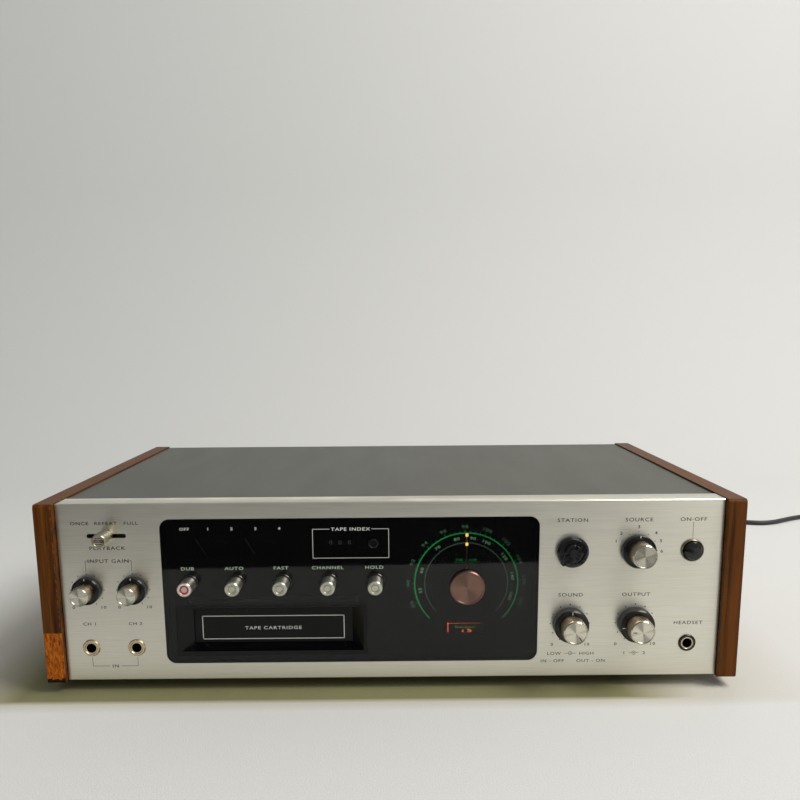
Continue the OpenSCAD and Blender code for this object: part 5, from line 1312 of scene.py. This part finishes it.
class RECORDER_OT_counter(bpy.types.Operator):
    """Puts the ten digits round each counter wheel, and the shutter before the wheels"""

    bl_idname = "recorder.counter"
    bl_label = "Counter digits"

    def execute(self, context):
        # painted light: the digits' paint also glows faintly, though the wheels have no lamp
        paint = ink("digit_paint", tint(196, 198, 194), 0.3)
        for node, body in zip(COUNTER_WHEELS, ("units", "tens", "hundreds")):
            low, high = corners(node)
            spot = (low + high) / 2
            radius = (high.z - low.z) / 2
            digits = []
            for value in range(10):
                digit = words(str(value), spot.x, spot.z, 3.1, spot.y - radius, 1.1)
                edit_all(digit)
                bpy.ops.mesh.subdivide(number_cuts=2)
                bpy.ops.object.mode_set(mode="OBJECT")
                turn = math.radians(36 * value - DIGIT_DROP)
                self.wrap(digit, at(*spot), (radius + 2 * PRINT_GAP) * MM, turn)
                digits.append(digit)
            printed(digits, f"{node}_digits", body, paint)
        self.shutter()
        return {"FINISHED"}

    @staticmethod
    def wrap(digit, centre, radius, turn):
        """Bends a flat digit round the wheel's axle and turns it to its place."""
        for vertex in digit.data.vertices:
            angle = (vertex.co.z - centre.z) / radius + turn
            vertex.co.y = centre.y - radius * math.cos(angle)
            vertex.co.z = centre.z + radius * math.sin(angle)
        digit.data.update()

    @staticmethod
    def shutter():
        """A black plate before the wheels that leaves one row of digits open."""
        boxes = [corners(node) for node in COUNTER_WHEELS]
        left = min(low.x for low, _ in boxes) - 0.8
        right = max(high.x for _, high in boxes) + 0.8
        low, high = boxes[0]
        centre, radius, face = (low.z + high.z) / 2, (high.z - low.z) / 2, low.y - 0.5
        row = centre - radius * math.sin(math.radians(DIGIT_DROP))
        heights = ((centre - radius, row - 1.9), (row + 1.9, centre + radius))
        plates = [bar((left, face - 0.3, bottom), (right, face, top)) for bottom, top in heights]
        black = moulded_plastic("shutter_black", tint(12, 12, 13), 0.6)
        printed(plates, "counter_shutter", "case", black)


# ---------- trim of the knobs and keys ----------


class RECORDER_OT_knob_trim(bpy.types.Operator):
    """Adds the knurling, the ribs and the index marks of the knobs, and the rings on the keys"""

    bl_idname = "recorder.knob_trim"
    bl_label = "Knob trim"

    def execute(self, context):
        white = ink("index_white", tint(226, 226, 220))
        self.inner_knobs(ink("index_ink", tint(30, 30, 32)))
        self.outer_rings(white)
        for node, body, inner, face, thick in (
            ("selector_knob", "selector", 9.9, -0.5, 0.7),
            ("rec_knob_left", "rec_left", 7.9, 0.0, 0.5),
            ("rec_knob_right", "rec_right", 7.9, 0.0, 0.5),
        ):
            spot = middle(node)
            mark = tick(spot.x, spot.z, 0, inner, inner + 0.8, face, thick, f"{body}_mark")
            ride(mark, body, white)
        self.lever()
        self.keys()
        return {"FINISHED"}

    @staticmethod
    def inner_knobs(dark):
        """Knurling round the tone and volume knobs, and a dark mark on their faces."""
        for node, body, degrees in (("tone_knob", "tone_pull", 142), ("volume_knob", "volume_inner", -90)):
            spot, face = middle(node), front(node)
            # the knurling's warm tan is the same painted reflection as the knobs' sides
            metal = turned_metal(f"{node}_knurl", tint(206, 188, 160), spot.x, spot.z)
            teeth = knurled(f"{node}_knurling", spot.x, spot.z, 7.8, face + 0.9, -4.2, 64)
            ride(teeth, body, metal)
            mark = tick(spot.x, spot.z, degrees, 4.0, 6.2, face + 0.3, 0.6, f"{node}_mark")
            ride(mark, body, dark)

    @staticmethod
    def outer_rings(white):
        """Ridges round the rings behind those knobs, and a white mark on them."""
        for node, body, degrees in (("tone_ring", "tone_outer", 0), ("volume_ring", "volume_outer", -95)):
            spot, face = middle(node), front(node)
            mark = tick(spot.x, spot.z, degrees, 8.5, 10.2, face, 0.5, f"{node}_mark")
            ride(mark, body, white)
            teeth = knurled(f"{node}_grip", spot.x, spot.z, 11.2, face + 1.2, PANEL_FACE - 1.3, 72, 0.22)
            black = moulded_plastic(f"{node}_grip_black", tint(20, 20, 21))
            ride(teeth, body, black)

    @staticmethod
    def lever():
        """Ribs round the function lever's barrel, and dark bars across its end that are painted shade for its
        slots.
        """
        spot, face = middle("function_lever"), front("function_lever")
        ribs = []
        for y in (face + 2.4 + 1.6 * i for i in range(6)):
            profile = [(4.3, y), (4.75, y - 0.15), (4.75, y - 0.65), (4.3, y - 0.8)]
            ribs.append(turned("rib", spot.x, spot.z, profile, 40, True))
        metal = turned_metal("lever_rib_metal", tint(206, 198, 176), spot.x, spot.z)
        printed(ribs, "lever_ribs", "lever", metal)
        # painted shade: flat dark bars stand for the shadowed slots
        slots = []
        for up, reach in ((-1.9, 2.3), (-0.6, 3.0), (0.7, 3.0), (2.0, 2.2)):
            z = spot.z + up
            slots.append(bar((spot.x - reach, face + 0.44, z - 0.2), (spot.x + reach, face + 0.47, z + 0.2)))
        printed(slots, "lever_slots", "lever", ink("slot_ink", tint(60, 52, 40)))

    @staticmethod
    def keys():
        """A grooved ring on each key's face; the recording key has a pale face with a red ring."""
        for node, body in zip(KEYS, KEY_BODIES):
            spot, face = middle(node), front(node)
            recording = node == "rec_button"
            inner, outer = 1.9, 3.2 if recording else 2.5
            top, foot = face + 0.24, face + 0.5
            profile = [(inner, foot), (inner + 0.1, top), (outer - 0.1, top), (outer, foot)]
            raised = turned(f"{node}_ring", spot.x, spot.z, profile, 40, True)
            if not recording:
                metal = turned_metal(f"{node}_ring_metal", tint(186, 180, 158), spot.x, spot.z, 0.25)
                ride(raised, body, metal)
                continue
            ride(raised, body, ink("rec_red", tint(190, 24, 34)))
            top, foot = face - 0.05, face + 0.45
            profile = [(3.2, foot), (3.2, top), (3.9, top), (4.3, face + 0.1), (4.3, foot)]
            pale = turned("rec_button_pale", spot.x, spot.z, profile, 40, True)
            ride(pale, body, ink("rec_white", tint(236, 226, 216)))


# ---------- camera and studio ----------


class RECORDER_OT_camera(bpy.types.Operator):
    """Sets the camera at the photograph's angle"""

    bl_idname = "recorder.camera"
    bl_label = "Camera"

    def execute(self, context):
        studio = context.scene.recorder_studio
        deselect()
        bpy.ops.object.camera_add()
        camera = context.object
        camera.name = "camera"
        camera.data.sensor_width = 36
        camera.data.lens = studio.lens
        camera.data.shift_y = studio.rise
        camera.data.clip_start = 0.01
        camera.matrix_world = (
            Matrix.Translation(Vector(studio.eye))
            @ Matrix.Rotation(-studio.turn, 4, "Z")
            @ Matrix.Rotation(math.pi / 2 - studio.tilt, 4, "X")
            @ Matrix.Rotation(studio.roll, 4, "Z")
        )
        context.scene.camera = camera
        return {"FINISHED"}


def level_sheet(name, x_range, y_range, z=0.0, turn=0.0):
    """A level sheet between these limits, turned about its middle."""
    deselect()
    (left, right), (near, far) = x_range, y_range
    bpy.ops.mesh.primitive_plane_add(size=1, location=((left + right) / 2, (near + far) / 2, z))
    sheet = bpy.context.object
    sheet.scale = (right - left, far - near, 1)
    sheet.rotation_euler.z = turn
    return settle(sheet, name)


class RECORDER_OT_studio(bpy.types.Operator):
    """Builds the pale floor and backdrop, and the soft lamps"""

    bl_idname = "recorder.studio"
    bl_label = "Studio"

    def execute(self, context):
        studio = context.scene.recorder_studio
        self.floor(studio)
        self.dark_room()
        context.scene.world = self.daylight(studio.daylight)
        warm, white = tint(255, 250, 242), (1, 1, 1)
        self.soft_lamp("window_light", (1.4, -0.5, 1.9), (0, 0, 0), (1.1, 1.1), 1.1 * studio.key, warm)
        self.soft_lamp("room_light", (1.3, -1.9, 2.2), (0, 0, 0.06), (2.2, 1.2), 0.36 * studio.key, white)
        context.scene.view_settings.view_transform = "Standard"
        return {"FINISHED"}

    @staticmethod
    def floor(studio):
        """A pale sheet on the table that sweeps up into the backdrop."""
        far, height, sweep = 1.15, 2.6, 0.55
        floor = level_sheet("studio_floor", (-2.6, 2.6), (-2.6, far))
        bpy.ops.object.mode_set(mode="EDIT")
        select_where(floor, lambda place, _: place.y > far - 0.01)
        bpy.ops.mesh.extrude_region_move(TRANSFORM_OT_translate={"value": (0, 0, height)})
        select_where(floor, lambda place, _: place.y > far - 0.01 and place.z < 0.01)
        bpy.ops.mesh.bevel(offset=sweep, segments=24, affect="EDGES")
        bpy.ops.object.mode_set(mode="OBJECT")
        bpy.ops.object.shade_smooth()
        paper = Finish("studio_paper", studio.floor, roughness=0.9)
        grain = paper.noise(paper.place(), 900.0, 3.0, 0.6)
        # painted stand-in for the deep warm shadow round the case, darkest at its left and front
        inside = paper.vector("ABSOLUTE", paper.place(move=(0.045, 0.006, 0)))[0]
        beyond = paper.vector("MAXIMUM", paper.vector("SUBTRACT", inside, (0.2, 0.142, 9))[0])[0]
        away = paper.vector("LENGTH", paper.vector("MULTIPLY", beyond, (1, 8, 1))[0])["Value"]
        shadow = paper.ramp(
            paper.times(away, 6.0),
            (0.0, (0.3, 0.29, 0.14)), (0.07, (0.46, 0.43, 0.29)), (0.28, (0.83, 0.8, 0.71)), (0.85, (1, 1, 1)),
        )
        tone = paper.mix(grain, tuple(studio.floor), scaled(studio.floor, 1.08))
        sheet = paper.mix(1.0, tone, shadow, "MULTIPLY")
        floor.data.materials.append(paper.use(normal=paper.bump(grain, 0.0004, 0.5), base_color=sheet))

    @staticmethod
    def soft_lamp(name, place, aim, size, power, shade):
        """A large soft lamp that looks at a place."""
        deselect()
        bpy.ops.object.light_add(type="AREA", location=place)
        lamp = bpy.context.object
        lamp.name = name
        lamp.data.shape = "RECTANGLE"
        lamp.data.size, lamp.data.size_y = size
        lamp.data.energy = power
        lamp.data.color = shade
        lamp.rotation_euler = (Vector(aim) - Vector(place)).to_track_quat("-Z", "Y").to_euler()

    @staticmethod
    def daylight(strength):
        """Light from all round, stronger from the right."""
        world = bpy.data.worlds.new("studio_daylight")
        world.use_nodes = True
        nodes, links = world.node_tree.nodes, world.node_tree.links
        background = nodes["Background"]
        background.inputs["Color"].default_value = (*tint(240, 241, 244), 1)
        place = nodes.new("ShaderNodeTexCoord")
        parts = nodes.new("ShaderNodeSeparateXYZ")
        links.new(place.outputs["Generated"], parts.inputs[0])
        side = nodes.new("ShaderNodeMapRange")
        for socket, value in enumerate((0, -0.8, 0.8, 0.48 * strength, 1.54 * strength)):
            side.inputs[socket].default_value = value
        links.new(parts.outputs[0], side.inputs[0])
        links.new(side.outputs[0], background.inputs["Strength"])
        return world

    @staticmethod
    def dark_room():
        """The dark room in front of the table, which only gloss shows."""
        room = level_sheet("studio_dark_room", (-2.4, 0.3), (-2.4, -0.386), 0.001, math.radians(-2.3))
        cloth = Finish("dark_cloth", tint(10, 10, 12), roughness=0.9)
        tone = cloth.mix(cloth.noise(cloth.place(), 300.0, 2.0), tint(6, 6, 8), tint(14, 14, 16))
        room.data.materials.append(cloth.use(base_color=tone))
        room.visible_camera = False
        room.visible_diffuse = False
        room.visible_shadow = False
        room.visible_transmission = False


# The operators, in the order in which they run
OPERATORS = (
    RECORDER_OT_camera,
    RECORDER_OT_lead,
    RECORDER_OT_wood,
    RECORDER_OT_case,
    RECORDER_OT_window,
    RECORDER_OT_knobs,
    RECORDER_OT_works,
    RECORDER_OT_rear,
    RECORDER_OT_panel_print,
    RECORDER_OT_window_print,
    RECORDER_OT_dial,
    RECORDER_OT_meters,
    RECORDER_OT_counter,
    RECORDER_OT_knob_trim,
    RECORDER_OT_studio,
)


class RECORDER_PT_pieces(bpy.types.Panel):
    """Lists the pieces in the order in which they are made"""

    bl_label = "Recorder"
    bl_idname = "RECORDER_PT_pieces"
    bl_space_type = "VIEW_3D"
    bl_region_type = "UI"
    bl_category = "Recorder"

    def draw(self, context):
        for group in GROUPS:
            box = self.layout.box()
            settings = getattr(context.scene, group)
            for name in settings.bl_rna.properties.keys():
                if name not in ("rna_type", "name"):
                    box.prop(settings, name)
        for operator in OPERATORS:
            self.layout.operator(operator.bl_idname)


GROUPS = {
    "recorder_colours": RecorderColours,
    "recorder_lead": RecorderLead,
    "recorder_studio": RecorderStudio,
}
KINDS = (*GROUPS.values(), *OPERATORS, RECORDER_PT_pieces)


def register():
    for kind in KINDS:
        bpy.utils.register_class(kind)
    for name, kind in GROUPS.items():
        setattr(bpy.types.Scene, name, PointerProperty(type=kind))


def unregister():
    for name in GROUPS:
        delattr(bpy.types.Scene, name)
    for kind in reversed(KINDS):
        bpy.utils.unregister_class(kind)


def main():
    register()
    for operator in OPERATORS:
        group, name = operator.bl_idname.split(".")
        getattr(getattr(bpy.ops, group), name)()
    deselect()


if __name__ == "__main__":
    main()
